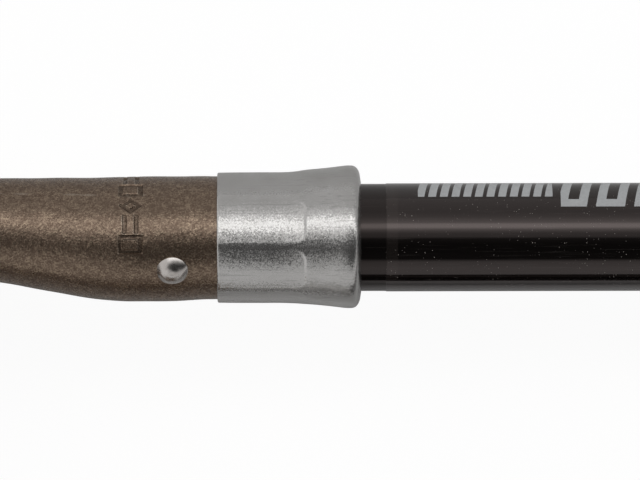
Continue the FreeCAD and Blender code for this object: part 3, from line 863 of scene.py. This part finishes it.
def new_group(name, inputs, outputs, placed=True):
    """A shader node group with named float inputs and outputs, and a Vector if it is placed."""
    tree = bpy.data.node_groups.new(name, "ShaderNodeTree")
    if placed:
        tree.interface.new_socket("Vector", in_out="INPUT", socket_type="NodeSocketVector")
    for label, value in inputs:
        socket = tree.interface.new_socket(label, in_out="INPUT", socket_type="NodeSocketFloat")
        socket.default_value = value
    for label in outputs:
        tree.interface.new_socket(label, in_out="OUTPUT", socket_type="NodeSocketFloat")
    return tree, tree.nodes.new("NodeGroupInput"), tree.nodes.new("NodeGroupOutput")


def use(tree, group, vector=None, **values):
    """Places a group in a material, with its own values."""
    node = tree.nodes.new("ShaderNodeGroup")
    node.node_tree = group
    if vector is not None:
        tree.links.new(vector, node.inputs["Vector"])
    for key, value in values.items():
        node.inputs[key].default_value = value
    return node.outputs


print("groups so far:", len(bpy.data.node_groups))

# %% [markdown]
# ## Grain
# Lacquer, plating and rubber all vary a little from place to place. One noise looks like a
# computer's, so the grain is two sizes of noise added together and pushed to a stronger contrast.

# %% Grain
FINE_SHARE, COARSE_SHARE, COARSE_SIZE = 0.65, 0.35, 2.7


def build_grain():
    """Two noises of Size mm and of 2.7 times that, mixed, then spread from the middle grey."""
    tree, given, made = new_group("grain", [("Size", 0.5), ("Contrast", 2.0)], ["Value"])
    place = given.outputs["Vector"]
    scale = maths(tree, "DIVIDE", MM_IN_METRE, given.outputs["Size"])
    fine = put(tree, "ShaderNodeTexNoise", {"Vector": place, "Scale": scale, "Detail": 2.0})
    coarse_scale = maths(tree, "DIVIDE", scale, COARSE_SIZE)
    coarse = put(tree, "ShaderNodeTexNoise", {"Vector": place, "Scale": coarse_scale, "Detail": 1.0})
    shares = times(tree, fine.outputs[0], FINE_SHARE), times(tree, coarse.outputs[0], COARSE_SHARE)
    both = maths(tree, "ADD", *shares)
    centred = times(tree, maths(tree, "SUBTRACT", both, 0.5), given.outputs["Contrast"])
    tree.links.new(maths(tree, "ADD", centred, 0.5, clamp=True), made.inputs["Value"])
    return tree


grain = build_grain()
print("grain:", len(grain.nodes), "nodes")

# %% [markdown]
# ## Specks
# Dust lies as separate small dots of unequal size. Real dots in their thousands would be heavy, so
# they are drawn: each cell of a Voronoi pattern holds a dot or none, by a share chosen by chance.

# %% Specks
def build_specks():
    """In a Share of the cells, 1 near the cell's point, falling to 0 at a distance of about Radius."""
    inputs = [("Cell", 3.0), ("Share", 0.2), ("Radius", 0.12)]
    tree, given, made = new_group("specks", inputs, ["Mask"])
    scale = maths(tree, "DIVIDE", MM_IN_METRE, given.outputs["Cell"])
    cells = put(tree, "ShaderNodeTexVoronoi", {"Vector": given.outputs["Vector"], "Scale": scale})
    parts = put(tree, "ShaderNodeSeparateColor", {0: cells.outputs["Color"]})
    chosen = maths(tree, "LESS_THAN", parts.outputs[0], given.outputs["Share"])
    size = times(tree, given.outputs["Radius"], maths(tree, "ADD", parts.outputs[1], 0.4))
    distance = times(tree, cells.outputs["Distance"], given.outputs["Cell"])
    reach = maths(tree, "DIVIDE", distance, size)
    dot = times(tree, maths(tree, "SUBTRACT", 1.0, reach), 3.0, clamp=True)
    tree.links.new(times(tree, chosen, dot), made.inputs["Mask"])
    return tree


specks = build_specks()
print("specks:", len(specks.nodes), "nodes")

# %% [markdown]
# ## Hairlines
# Handling leaves fine marks that run along the tool, and pulled glass fibre has them from the die.
# They are noise stretched far along X: a texture of scratches would need a map on every piece.

# %% Hairlines
NOISE_TOP = 0.82
HAIR_EDGE = 12.0


def build_hairlines():
    """Noise of Length mm along the tool by Width mm across, cut off so that only its tops are left."""
    inputs = [("Length", 30.0), ("Width", 0.3), ("Share", 0.1)]
    tree, given, made = new_group("hairlines", inputs, ["Mask"])
    parts = put(tree, "ShaderNodeSeparateXYZ", {0: given.outputs["Vector"]})
    stretched = {
        axis: maths(tree, "DIVIDE", times(tree, parts.outputs[axis], MM_IN_METRE), given.outputs[size])
        for axis, size in enumerate(("Length", "Width", "Width"))
    }
    place = put(tree, "ShaderNodeCombineXYZ", stretched)
    noise = put(tree, "ShaderNodeTexNoise", {"Vector": place.outputs[0], "Scale": 1.0, "Detail": 1.0})
    floor = maths(tree, "SUBTRACT", NOISE_TOP, given.outputs["Share"])
    above = maths(tree, "SUBTRACT", noise.outputs[0], floor)
    tree.links.new(times(tree, above, HAIR_EDGE, clamp=True), made.inputs["Mask"])
    return tree


hairlines = build_hairlines()
print("hairlines:", len(hairlines.nodes), "nodes")

# %% [markdown]
# ## Facets
# Zinc grows in small crystals and metallic lacquer holds flakes, and each one mirrors its own part
# of the room. Roughness alone only blurs a reflection. So every small cell leans the surface's
# normal its own way, which breaks the reflection up into the glitter that the eye expects.

# %% Facets
def build_facets():
    """The surface's normal plus Lean times a chance direction, one for each cell of Size mm."""
    tree, given, made = new_group("facets", [("Size", 0.5), ("Lean", 0.1)], [])
    tree.interface.new_socket("Normal", in_out="OUTPUT", socket_type="NodeSocketVector")
    scale = maths(tree, "DIVIDE", MM_IN_METRE, given.outputs["Size"])
    cells = put(tree, "ShaderNodeTexVoronoi", {"Vector": given.outputs["Vector"], "Scale": scale})
    middle_grey = {0: cells.outputs["Color"], 1: (0.5, 0.5, 0.5)}
    centred = put(tree, "ShaderNodeVectorMath", middle_grey, operation="SUBTRACT")
    by_lean = {0: centred.outputs[0], "Scale": given.outputs["Lean"]}
    lean = put(tree, "ShaderNodeVectorMath", by_lean, operation="SCALE")
    true_normal = put(tree, "ShaderNodeNewGeometry").outputs["Normal"]
    total = put(tree, "ShaderNodeVectorMath", {0: true_normal, 1: lean.outputs[0]}, operation="ADD")
    unit = put(tree, "ShaderNodeVectorMath", {0: total.outputs[0]}, operation="NORMALIZE")
    tree.links.new(unit.outputs[0], made.inputs["Normal"])
    return tree


facets = build_facets()
print("facets:", len(facets.nodes), "nodes")

# %% [markdown]
# ## Worn edges
# Hands, soil and other tools rub a finish thin on its outer edges first. Painting that by hand
# would have to be done again after every change, but the renderer knows how pointed the surface is
# at each place, and this reads it.

# %% Worn edges
def build_worn_edge():
    """0 where the pointiness is Low or less, 1 where it is High or more, even between."""
    inputs = [("Low", 0.52), ("High", 0.6)]
    tree, given, made = new_group("worn edge", inputs, ["Mask"], placed=False)
    point = put(tree, "ShaderNodeNewGeometry").outputs["Pointiness"]
    limits = {1: given.outputs["Low"], 2: given.outputs["High"]}
    edge = put(tree, "ShaderNodeMapRange", {0: point, **limits}, clamp=True)
    tree.links.new(edge.outputs[0], made.inputs["Mask"])
    return tree


worn_edge = build_worn_edge()
print("shared effects:", [group.name for group in bpy.data.node_groups])

# %% [markdown]
# ## Starting a finish, and putting it on
# Each finish starts from Object coordinates, so its pattern stays fixed to the piece when the tool
# opens. Bumps are given as real heights: a few hundredths of a millimetre for lacquer over rolled
# plate, less for zinc. New pieces take the finish on their mesh, and a CAD node takes it on its own
# slots, so that its mesh stays as it was packed.

# %% Start a finish, and put it on
def begin_finish(name, **constants):
    """A new material with a Principled shader; constants go straight on the shader's sockets."""
    material = bpy.data.materials.new(name)
    material.use_nodes = True
    tree = material.node_tree
    tree.nodes.clear()
    shader = put(tree, "ShaderNodeBsdfPrincipled", {k.replace("_", " "): v for k, v in constants.items()})
    put(tree, "ShaderNodeOutputMaterial", {"Surface": shader.outputs[0]})
    where = put(tree, "ShaderNodeTexCoord").outputs["Object"]
    return material, tree, shader, where


def bump(tree, shader, height, depth_mm, normal=None):
    """Height (0 to 1) times a depth in mm, as a change of the surface's normal."""
    node = put(tree, "ShaderNodeBump", {"Height": height, "Distance": depth_mm * MM, "Strength": 1.0})
    if normal is not None:
        tree.links.new(normal, node.inputs["Normal"])
    tree.links.new(node.outputs[0], shader.inputs["Normal"])


def colour_and_roughness(tree, shader, colour, roughness):
    """Wires both into the shader."""
    tree.links.new(colour, shader.inputs["Base Color"])
    tree.links.new(roughness, shader.inputs["Roughness"])


def wear(pieces, material):
    """Puts a finish on new pieces."""
    for piece in pieces:
        piece.data.materials.clear()
        piece.data.materials.append(material)
    print(material.name, "on", [piece.name for piece in pieces])


def wear_nodes(fitting, sides, material):
    """Puts a finish on the CAD nodes of a fitting, one for each side."""
    for side in sides:
        node = frame["nodes"][f"{side}_{fitting}"]
        if len(node.data.materials) == 0:
            node.data.materials.append(material)
        for slot in node.material_slots:
            slot.link = "OBJECT"
            slot.material = material
    print(material.name, "on", fitting, "of", sides)


HINGES = ("upper", "lower")
print("finishes will go on", len(frame["nodes"]), "nodes or the pieces that stand for them")

# %% [markdown]
# ## Bronze lacquer on the head
# The head is sprayed with a bronze lacquer full of metal flakes, mottled where it is thin. The stamped
# marks are darkened in colour as painted shade in their hollows. A plain metal colour looks like bare
# copper, so the finish is a grainy colour, slow darker blotches, paler edges, painted shade in the marks and
# leaning flakes.

# %% Bronze lacquer
def bronze_lacquer():
    material, tree, shader, where = begin_finish("bronze_lacquer", Metallic=0.85)
    fine = use(tree, grain, where, Size=0.62, Contrast=3.4)["Value"]
    blotch = use(tree, grain, where, Size=3.4, Contrast=2.6)["Value"]
    shades = [(0.1, (0.15, 0.103, 0.074)), (0.5, (0.215, 0.155, 0.115)), (0.95, (0.35, 0.265, 0.19))]
    darker = mix_colours(tree, times(tree, blotch, 0.35), ramp(tree, fine, shades), (0.12, 0.085, 0.062))
    edge = times(tree, use(tree, worn_edge)["Mask"], 0.5)
    worn = mix_colours(tree, edge, darker, (0.42, 0.35, 0.28))
    # The stamp's depth darkens the colour in the marks: painted shade in their hollows.
    pressed = put(tree, "ShaderNodeAttribute", attribute_name="pressed").outputs["Fac"]
    colour = mix_colours(tree, times(tree, pressed, 0.5), worn, (0.05, 0.035, 0.026))
    colour_and_roughness(tree, shader, colour, ramp(tree, fine, [(0.0, 0.32), (1.0, 0.24)]))
    flakes = use(tree, facets, where, Size=0.5, Lean=0.13)["Normal"]
    bump(tree, shader, fine, 0.04, flakes)
    return material


wear(heads, bronze_lacquer())

# %% [markdown]
# ## Zinc on the collar
# The collar is zinc plated: bright, slightly clouded, glittering with fine crystals, and marked
# along by the tool that pressed it. A metal with an even roughness looks like chrome or like
# plastic, so the crystals come from leaning facets and the clouds from a large, faint grain.

# %% Zinc plating
def zinc_plate():
    material, tree, shader, where = begin_finish("zinc_plate", Metallic=0.9)
    fine = use(tree, grain, where, Size=0.5, Contrast=3.0)["Value"]
    cloud = use(tree, grain, where, Size=7.0, Contrast=2.2)["Value"]
    crystals = use(tree, facets, where, Size=0.36, Lean=0.13)["Normal"]
    scratch = use(tree, hairlines, where, Length=26.0, Width=0.6, Share=0.22)["Mask"]
    clouded = ramp(tree, cloud, [(0.0, (0.5, 0.49, 0.475)), (1.0, (0.57, 0.56, 0.55))])
    colour = mix_colours(tree, times(tree, scratch, 0.4), clouded, (0.36, 0.35, 0.34))
    colour_and_roughness(tree, shader, colour, ramp(tree, cloud, [(0.0, 0.16), (1.0, 0.21)]))
    bump(tree, shader, fine, 0.012, crystals)
    return material


wear(collars, zinc_plate())

# %% [markdown]
# ## Black glass fibre
# The handle is pulled through a die as black resin and glass, and comes out glossy. A pure black
# would show nothing but its reflections, so a few duller, paler streaks run along it.

# %% Black glass fibre
def glass_fibre():
    warm_gloss = {"IOR": 1.55, "Specular_Tint": (1, 0.84, 0.8, 1)}
    material, tree, shader, where = begin_finish("black_glass_fibre", **warm_gloss)
    streak = use(tree, hairlines, where, Length=60.0, Width=0.5, Share=0.12)["Mask"]
    black, grey = (0.0022, 0.0019, 0.0018), (0.02, 0.018, 0.017)
    colour = mix_colours(tree, times(tree, streak, 0.3), black, grey)
    colour_and_roughness(tree, shader, colour, ramp(tree, streak, [(0.0, 0.1), (1.0, 0.3)]))
    return material


wear(tubes, glass_fibre())

# %% [markdown]
# ## Bright steel on the rivet
# A struck rivet is bare steel with a faint bloom. It is the simplest metal here: a cloud of two
# near colours that also moves the roughness a little, so that the dome doesn't look like a mirror.

# %% Bright steel
def polished_steel():
    material, tree, shader, where = begin_finish("polished_rivet_steel", Metallic=1.0)
    cloud = use(tree, grain, where, Size=1.6, Contrast=2.0)["Value"]
    colour = ramp(tree, cloud, [(0.0, (0.5, 0.46, 0.43)), (1.0, (0.62, 0.59, 0.57))])
    colour_and_roughness(tree, shader, colour, ramp(tree, cloud, [(0.0, 0.2), (1.0, 0.3)]))
    bump(tree, shader, cloud, 0.01)
    return material


wear(rivets, polished_steel())

# %% [markdown]
# ## Plated steel on the hinge's fittings
# Bolts, washers and nuts are zinc plated in a barrel, which leaves them duller than the collar and
# brighter on their corners, where they knocked together. One finish serves them all, because they
# are plated together.

# %% Plated fittings
def fastener_steel():
    material, tree, shader, where = begin_finish("fastener_steel", Metallic=1.0)
    cloud = use(tree, grain, where, Size=1.2, Contrast=2.4)["Value"]
    plated = ramp(tree, cloud, [(0.0, (0.42, 0.4, 0.36)), (1.0, (0.62, 0.6, 0.55))])
    colour = mix_colours(tree, use(tree, worn_edge)["Mask"], plated, (0.75, 0.73, 0.7))
    colour_and_roughness(tree, shader, colour, ramp(tree, cloud, [(0.0, 0.24), (1.0, 0.4)]))
    bump(tree, shader, cloud, 0.01)
    return material


steel = fastener_steel()
for fitting in ("pivot_bolt", "head_washer", "pivot_sleeve", "nut_washer", "lock_nut"):
    wear_nodes(fitting, HINGES, steel)

# %% [markdown]
# ## Rubber on the grip
# Moulded rubber is nearly black and matt, greyer where hands have scuffed it and on the edges of
# its grooves. A painted map could show the scuffs, but slow grain does it without one.

# %% Moulded rubber
def moulded_rubber():
    material, tree, shader, where = begin_finish("moulded_rubber")
    fine = use(tree, grain, where, Size=0.6, Contrast=2.5)["Value"]
    scuff = use(tree, grain, where, Size=9.0, Contrast=2.6)["Value"]
    scuffed = mix_colours(tree, times(tree, scuff, 0.4), (0.012, 0.012, 0.012), (0.035, 0.034, 0.033))
    colour = mix_colours(tree, use(tree, worn_edge)["Mask"], scuffed, (0.07, 0.068, 0.065))
    colour_and_roughness(tree, shader, colour, ramp(tree, scuff, [(0.0, 0.5), (1.0, 0.7)]))
    bump(tree, shader, fine, 0.04)
    return material


wear(grips, moulded_rubber())

# %% [markdown]
# ## Plastics
# The thrust washers, the rings in the lock nuts and the plugs in the tubes are moulded plastic.
# They differ only in colour, so they are one recipe with two colours to give.

# %% Moulded plastics
def nylon(name, pale, dark):
    material, tree, shader, where = begin_finish(name)
    cloud = use(tree, grain, where, Size=2.0, Contrast=2.0)["Value"]
    roughness = ramp(tree, cloud, [(0.0, 0.4), (1.0, 0.55)])
    colour_and_roughness(tree, shader, mix_colours(tree, cloud, dark, pale), roughness)
    bump(tree, shader, cloud, 0.01)
    return material


wear_nodes("thrust_washer", HINGES, nylon("thrust_nylon", (0.7, 0.68, 0.62), (0.5, 0.48, 0.43)))
wear_nodes("nut_ring", HINGES, nylon("nut_ring_nylon", (0.08, 0.16, 0.4), (0.05, 0.1, 0.28)))
wear_nodes("end_plug", HALVES, nylon("plug_plastic", (0.06, 0.06, 0.06), (0.03, 0.03, 0.03)))

# %% [markdown]
# ## Wood in the tube
# A turned wooden core backs the tube where the rivet crosses it. Only its end could ever be seen,
# so the rings of its end grain are the whole finish, with darker pores over them.

# %% Core wood
def end_grain_wood():
    material, tree, shader, where = begin_finish("core_wood", Roughness=0.7)
    ring_values = {"Vector": where, "Scale": 320.0, "Distortion": 3.0, "Detail": 2.0}
    rings = put(tree, "ShaderNodeTexWave", ring_values, wave_type="RINGS", rings_direction="X")
    pore = use(tree, grain, where, Size=0.5, Contrast=3.0)["Value"]
    ringed = mix_colours(tree, times(tree, rings.outputs[1], 0.6), (0.55, 0.38, 0.2), (0.3, 0.18, 0.08))
    colour = mix_colours(tree, times(tree, pore, 0.3), ringed, (0.2, 0.12, 0.06))
    tree.links.new(colour, shader.inputs["Base Color"])
    bump(tree, shader, pore, 0.05)
    return material


wear_nodes("shaft_core", HALVES, end_grain_wood())

# %% [markdown]
# ## The film's print
# The film carries a silver print of plain slanted bars: first a row of small ones, then a row of
# large frames. Text objects laid on the tube would be heavy and could flicker against it. The bars
# follow the film's own map instead, which runs in millimetres along it and in radians round it.

# %% Rows of slanted bars
# Each row: first and last mm along, first and last angle, pitch and width in mm, mm of slant for
# each radian.
SMALL_BARS = (11.3, 58.7, 0.841, 1.45, 4.1, 2.75, 2.6)
LARGE_BARS = (61.5, 240.0, 0.594, 1.95, 13.4, 10.2, 3.0)
HOLES_IN_BARS = (58.3, 240.0, 0.77, 1.77, 13.4, 3.8, 3.0)
HOLE_INSET = 3.2
# Added before the modulo, which needs a number above 0.
FAR_START = 1000.0


def band(tree, value, low, high):
    """1 where low < value < high."""
    above = maths(tree, "GREATER_THAN", value, low)
    return times(tree, above, maths(tree, "LESS_THAN", value, high))


def bars(tree, along, around, row):
    """1 in the bars of a row: (along minus slant times around) modulo pitch is less than width."""
    start, end, low, high, pitch, width, slant = row
    leaning = maths(tree, "SUBTRACT", along, times(tree, around, slant))
    place = maths(tree, "MODULO", maths(tree, "ADD", leaning, FAR_START), pitch)
    in_row = times(tree, band(tree, along, start, end), band(tree, around, low, high))
    return times(tree, in_row, maths(tree, "LESS_THAN", place, width))


def silver_print(tree, along, around):
    """The small bars, and the large ones less their holes."""
    small = bars(tree, along, around, SMALL_BARS)
    large = bars(tree, along, around, LARGE_BARS)
    holes = bars(tree, maths(tree, "SUBTRACT", along, HOLE_INSET), around, HOLES_IN_BARS)
    return maths(tree, "MAXIMUM", small, maths(tree, "SUBTRACT", large, holes))


print("small bars:", int((SMALL_BARS[1] - SMALL_BARS[0]) / SMALL_BARS[4]), "in their row")

# %% [markdown]
# ## The film
# The film is clear. A real clear layer over black is slow to render and looks the same as a black
# gloss, so the film is black with a coat on top. Dust settles on it unevenly, handling leaves fine
# hairs, its cut edge is paler, and the silver print lies over everything.

# %% Film finish
def dust_on_film(tree, where):
    """The greater of fine specks, where slow grain lets them settle, and a few coarse ones."""
    slow = use(tree, grain, where, Size=9.0, Contrast=4.0)["Value"]
    settled = ramp(tree, slow, [(0.35, 0.0), (0.8, 1.0)])
    fine = use(tree, specks, where, Cell=0.8, Share=0.4, Radius=0.13)["Mask"]
    coarse = use(tree, specks, where, Cell=4.0, Share=0.35, Radius=0.22)["Mask"]
    return maths(tree, "MAXIMUM", times(tree, fine, settled), coarse)


def printed_film():
    gloss = {"IOR": 1.56, "Specular_Tint": (1, 0.8, 0.76, 1), "Coat_Weight": 0.35, "Coat_Roughness": 0.04}
    material, tree, shader, where = begin_finish("printed_film", **gloss)
    uv = put(tree, "ShaderNodeUVMap", uv_map="along_around").outputs[0]
    along, around, _ = put(tree, "ShaderNodeSeparateXYZ", {0: uv}).outputs
    silver = silver_print(tree, along, around)
    dust = dust_on_film(tree, where)
    rubbed = use(tree, grain, where, Size=0.9, Contrast=4.0)["Value"]
    hair = use(tree, hairlines, where, Length=18.0, Width=0.3, Share=0.2)["Mask"]
    edge = times(tree, band(tree, along, -1.0, 4.2), 0.8)
    black = mix_colours(tree, edge, (0.0018, 0.0015, 0.0014), (0.012, 0.01, 0.009))
    streaked = mix_colours(tree, times(tree, hair, 0.5), black, (0.03, 0.027, 0.025))
    dusty = mix_colours(tree, times(tree, dust, 0.9), streaked, (0.42, 0.39, 0.36))
    print_colour = mix_colours(tree, times(tree, rubbed, 0.3), (0.48, 0.5, 0.51), (0.3, 0.31, 0.32))
    colour = mix_colours(tree, silver, dusty, print_colour)
    covered = times(tree, maths(tree, "MAXIMUM", dust, silver), 0.35)
    colour_and_roughness(tree, shader, colour, maths(tree, "ADD", 0.09, covered))
    bump(tree, shader, dust, 0.03)
    return material


wear(films, printed_film())

# %% [markdown]
# ## Rounding the head's edges
# Sheet metal never has knife edges: shears and lacquer round them. The edges could be rounded in
# the grid, but a Bevel modifier rounds only the sharp ones and follows the grid whatever its shape,
# so it comes last. Its hardened normals keep the faces beside it flat.

# %% Bevel the head
for head in heads:
    rounding = head.modifiers.new("edge_rounding", "BEVEL")
    rounding.width = 0.35 * MM
    rounding.segments = 2
    rounding.limit_method = "ANGLE"
    rounding.angle_limit = math.radians(50)
    rounding.harden_normals = True
    print(head.name, "edges rounded by", round(rounding.width / MM, 2), "mm")

# %% [markdown]
# ## Light
# Polished metal and gloss show their surroundings, so the surroundings are the light. Lamps and
# white boards could be set up round the tool, but here the sky itself is the studio, and depends
# only on direction. It is a ring round the tool's long axis: a pale room, one bright long softbox a
# little to the far side of straight up, and a dark gap beside it that draws the dark band along
# every round piece. One ring serves surfaces that lie along the tool. A second one serves those that
# flare, and so mirror directions that lean back towards the blades. Further back than that there
# is only the room.

# %% Studio rings
# (degrees from straight up towards the far side, brightness), all the way round the tool
SQUARE_ON = [
    (-180, 0.5), (-150, 0.4), (-120, 0.52), (-90, 0.52), (-70, 0.62), (-54, 0.5), (-47.5, 0.03), (-42, 0.04),
    (-30, 0.03), (-15, 0.03), (-3, 0.07), (1, 0.38), (8, 0.42), (12, 0.62), (17, 1.05), (20, 1.8), (22, 2.1),
    (28, 2.0), (31, 1.15), (37, 0.88), (44, 0.62), (55, 0.48), (90, 0.55), (150, 0.5), (180, 0.5),
]
LEANING_BACK = [
    (-180, 0.5), (-150, 0.4), (-120, 0.52), (-90, 0.55), (-70, 0.66), (-54, 0.55), (-42, 0.47), (-35, 0.33),
    (-29, 0.06), (-12, 0.05), (-6, 0.28), (0, 0.6), (6, 0.85), (12, 1.15), (17, 1.35), (22.5, 2.0),
    (27, 2.0), (29.5, 1.25), (35, 0.88), (55, 0.5), (90, 0.55), (180, 0.5),
]
BRIGHTEST = 2.2
ROOM = 0.75
# How far a direction leans back (minus the X part of a unit direction) where the second ring, and
# then the room, starts to take over and where it has done so.
SECOND_RING_FROM, SECOND_RING_TO = 0.02, 0.16
ROOM_FROM, ROOM_TO = 0.3, 0.55
for ring in (SQUARE_ON, LEANING_BACK):
    print("ring of", len(ring), "lights, the brightest", max(light for _, light in ring))

# %% [markdown]
# ## The sky from the rings
# The angle round the tool is the arc tangent of the direction's Y and Z. A colour ramp turns it
# into a brightness, and it holds values up to 1, so the brightness is divided before it and
# multiplied after. The camera itself sees plain white, as behind a tool in a catalogue.

# %% Studio sky
def ring_light(tree, turn, ring):
    """A ring's brightness at a share of the way round, from its (degrees, brightness) points."""
    return ramp(tree, turn, [((degrees + 180) / 360, light / BRIGHTEST) for degrees, light in ring])


def studio_sky():
    world = bpy.data.worlds.new("studio")
    bpy.context.scene.world = world
    world.use_nodes = True
    tree = world.node_tree
    tree.nodes.clear()
    direction = put(tree, "ShaderNodeTexCoord").outputs["Generated"]
    x, y, z = put(tree, "ShaderNodeSeparateXYZ", {0: direction}).outputs
    turn = maths(tree, "ADD", maths(tree, "DIVIDE", maths(tree, "ARCTAN2", y, z), 2 * math.pi), 0.5)
    back = times(tree, x, -1.0)
    leaning = put(tree, "ShaderNodeMapRange", {0: back, 1: SECOND_RING_FROM, 2: SECOND_RING_TO}, clamp=True)
    rings = {2: ring_light(tree, turn, SQUARE_ON), 3: ring_light(tree, turn, LEANING_BACK)}
    across = put(tree, "ShaderNodeMix", {0: leaning.outputs[0], **rings}).outputs[0]
    away = put(tree, "ShaderNodeMapRange", {0: back, 1: ROOM_FROM, 2: ROOM_TO}, clamp=True)
    studio = put(tree, "ShaderNodeMix", {0: away.outputs[0], 2: times(tree, across, BRIGHTEST), 3: ROOM})
    seen = put(tree, "ShaderNodeLightPath").outputs["Is Camera Ray"]
    shown = put(tree, "ShaderNodeMix", {0: seen, 2: studio.outputs[0], 3: 1.0}).outputs[0]
    sky = put(tree, "ShaderNodeBackground", {"Color": (1, 1, 1, 1), "Strength": shown})
    put(tree, "ShaderNodeOutputWorld", {"Surface": sky.outputs[0]})
    return world


print("sky:", len(studio_sky().node_tree.nodes), "nodes")

# %% [markdown]
# ## Floor
# The tool lies on its side: the lower hinge bolt and the two grips touch the ground, so the ground
# slopes a little against the tool's own frame. A shadow catcher needs a second picture behind it,
# so this is a plain pale floor, and to the camera it also glows almost white, so that only the
# softest shadow is left on it.

# %% Floor
FLOOR_REACH = 60.0
BOLT_FOOT = 8.0
FLOOR_GREY, FLOOR_SHADE, FLOOR_GLOW = (0.75, 0.75, 0.75, 1), (0.12, 0.12, 0.12, 1), 0.93


def floor_finish():
    """A grey that lights the tool from below, and for the camera a glow with a little shade."""
    material = bpy.data.materials.new("floor_white")
    material.use_nodes = True
    tree = material.node_tree
    tree.nodes.clear()
    matt = put(tree, "ShaderNodeBsdfDiffuse", {"Color": FLOOR_GREY})
    dim = put(tree, "ShaderNodeBsdfDiffuse", {"Color": FLOOR_SHADE})
    glow = put(tree, "ShaderNodeEmission", {"Color": (1, 1, 1, 1), "Strength": FLOOR_GLOW})
    lit = put(tree, "ShaderNodeAddShader", {0: dim.outputs[0], 1: glow.outputs[0]})
    seen = put(tree, "ShaderNodeLightPath").outputs["Is Camera Ray"]
    both = put(tree, "ShaderNodeMixShader", {0: seen, 1: matt.outputs[0], 2: lit.outputs[0]})
    put(tree, "ShaderNodeOutputMaterial", {"Surface": both.outputs[0]})
    return material


def pale_floor():
    """A large square through the bolt's foot at height 0 and the grips' lowest line."""
    touch_x = hinge[0] + BOLT_FOOT * MM
    grip_foot_x = hinge[0] + (grip_end_x - GRIP_CORNER) * MM
    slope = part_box("left_grip")[0][2] / (grip_foot_x - touch_x)
    sides = [(-FLOOR_REACH, -FLOOR_REACH), (FLOOR_REACH, -FLOOR_REACH)]
    sides += [(FLOOR_REACH, FLOOR_REACH), (-FLOOR_REACH, FLOOR_REACH)]
    mesh = bpy.data.meshes.new("floor")
    mesh.from_pydata([(x, y, slope * (x - touch_x)) for x, y in sides], [], [(0, 1, 2, 3)])
    mesh.materials.append(floor_finish())
    floor = bpy.data.objects.new("floor", mesh)
    bpy.context.scene.collection.objects.link(floor)
    print("floor slope, degrees:", round(math.degrees(math.atan(slope)), 2))


pale_floor()

# %% [markdown]
# ## Camera
# The camera looks straight down on the tool from far away through a long lens, so there is hardly
# any perspective, and it is centred just beyond the collar. An orthographic camera would have none
# at all, but a little of it tells the eye which piece is nearer.

# %% Camera
LENS, SENSOR = 380.0, 36.0
WIDTH_SEEN = 226.3
PAST_COLLAR_START, BESIDE_HANDLE = 36.21, -0.88
ROLL = math.radians(-0.129)
camera_data = bpy.data.cameras.new("camera")
camera_data.lens, camera_data.sensor_width = LENS, SENSOR
camera_data.clip_start, camera_data.clip_end = 0.05, 200
camera = bpy.data.objects.new("camera", camera_data)
bpy.context.scene.collection.objects.link(camera)
height = WIDTH_SEEN * LENS / SENSOR
centre = np.array([collar_x + PAST_COLLAR_START, HANDLE_Y + BESIDE_HANDLE, height]) * MM + hinge
camera.location = centre.tolist()
camera.rotation_euler = (0, 0, ROLL)
bpy.context.scene.camera = camera
bpy.context.scene.view_settings.view_transform = "Standard"
bpy.context.scene.view_settings.look = "None"
print("camera at", [round(float(c), 4) for c in centre])
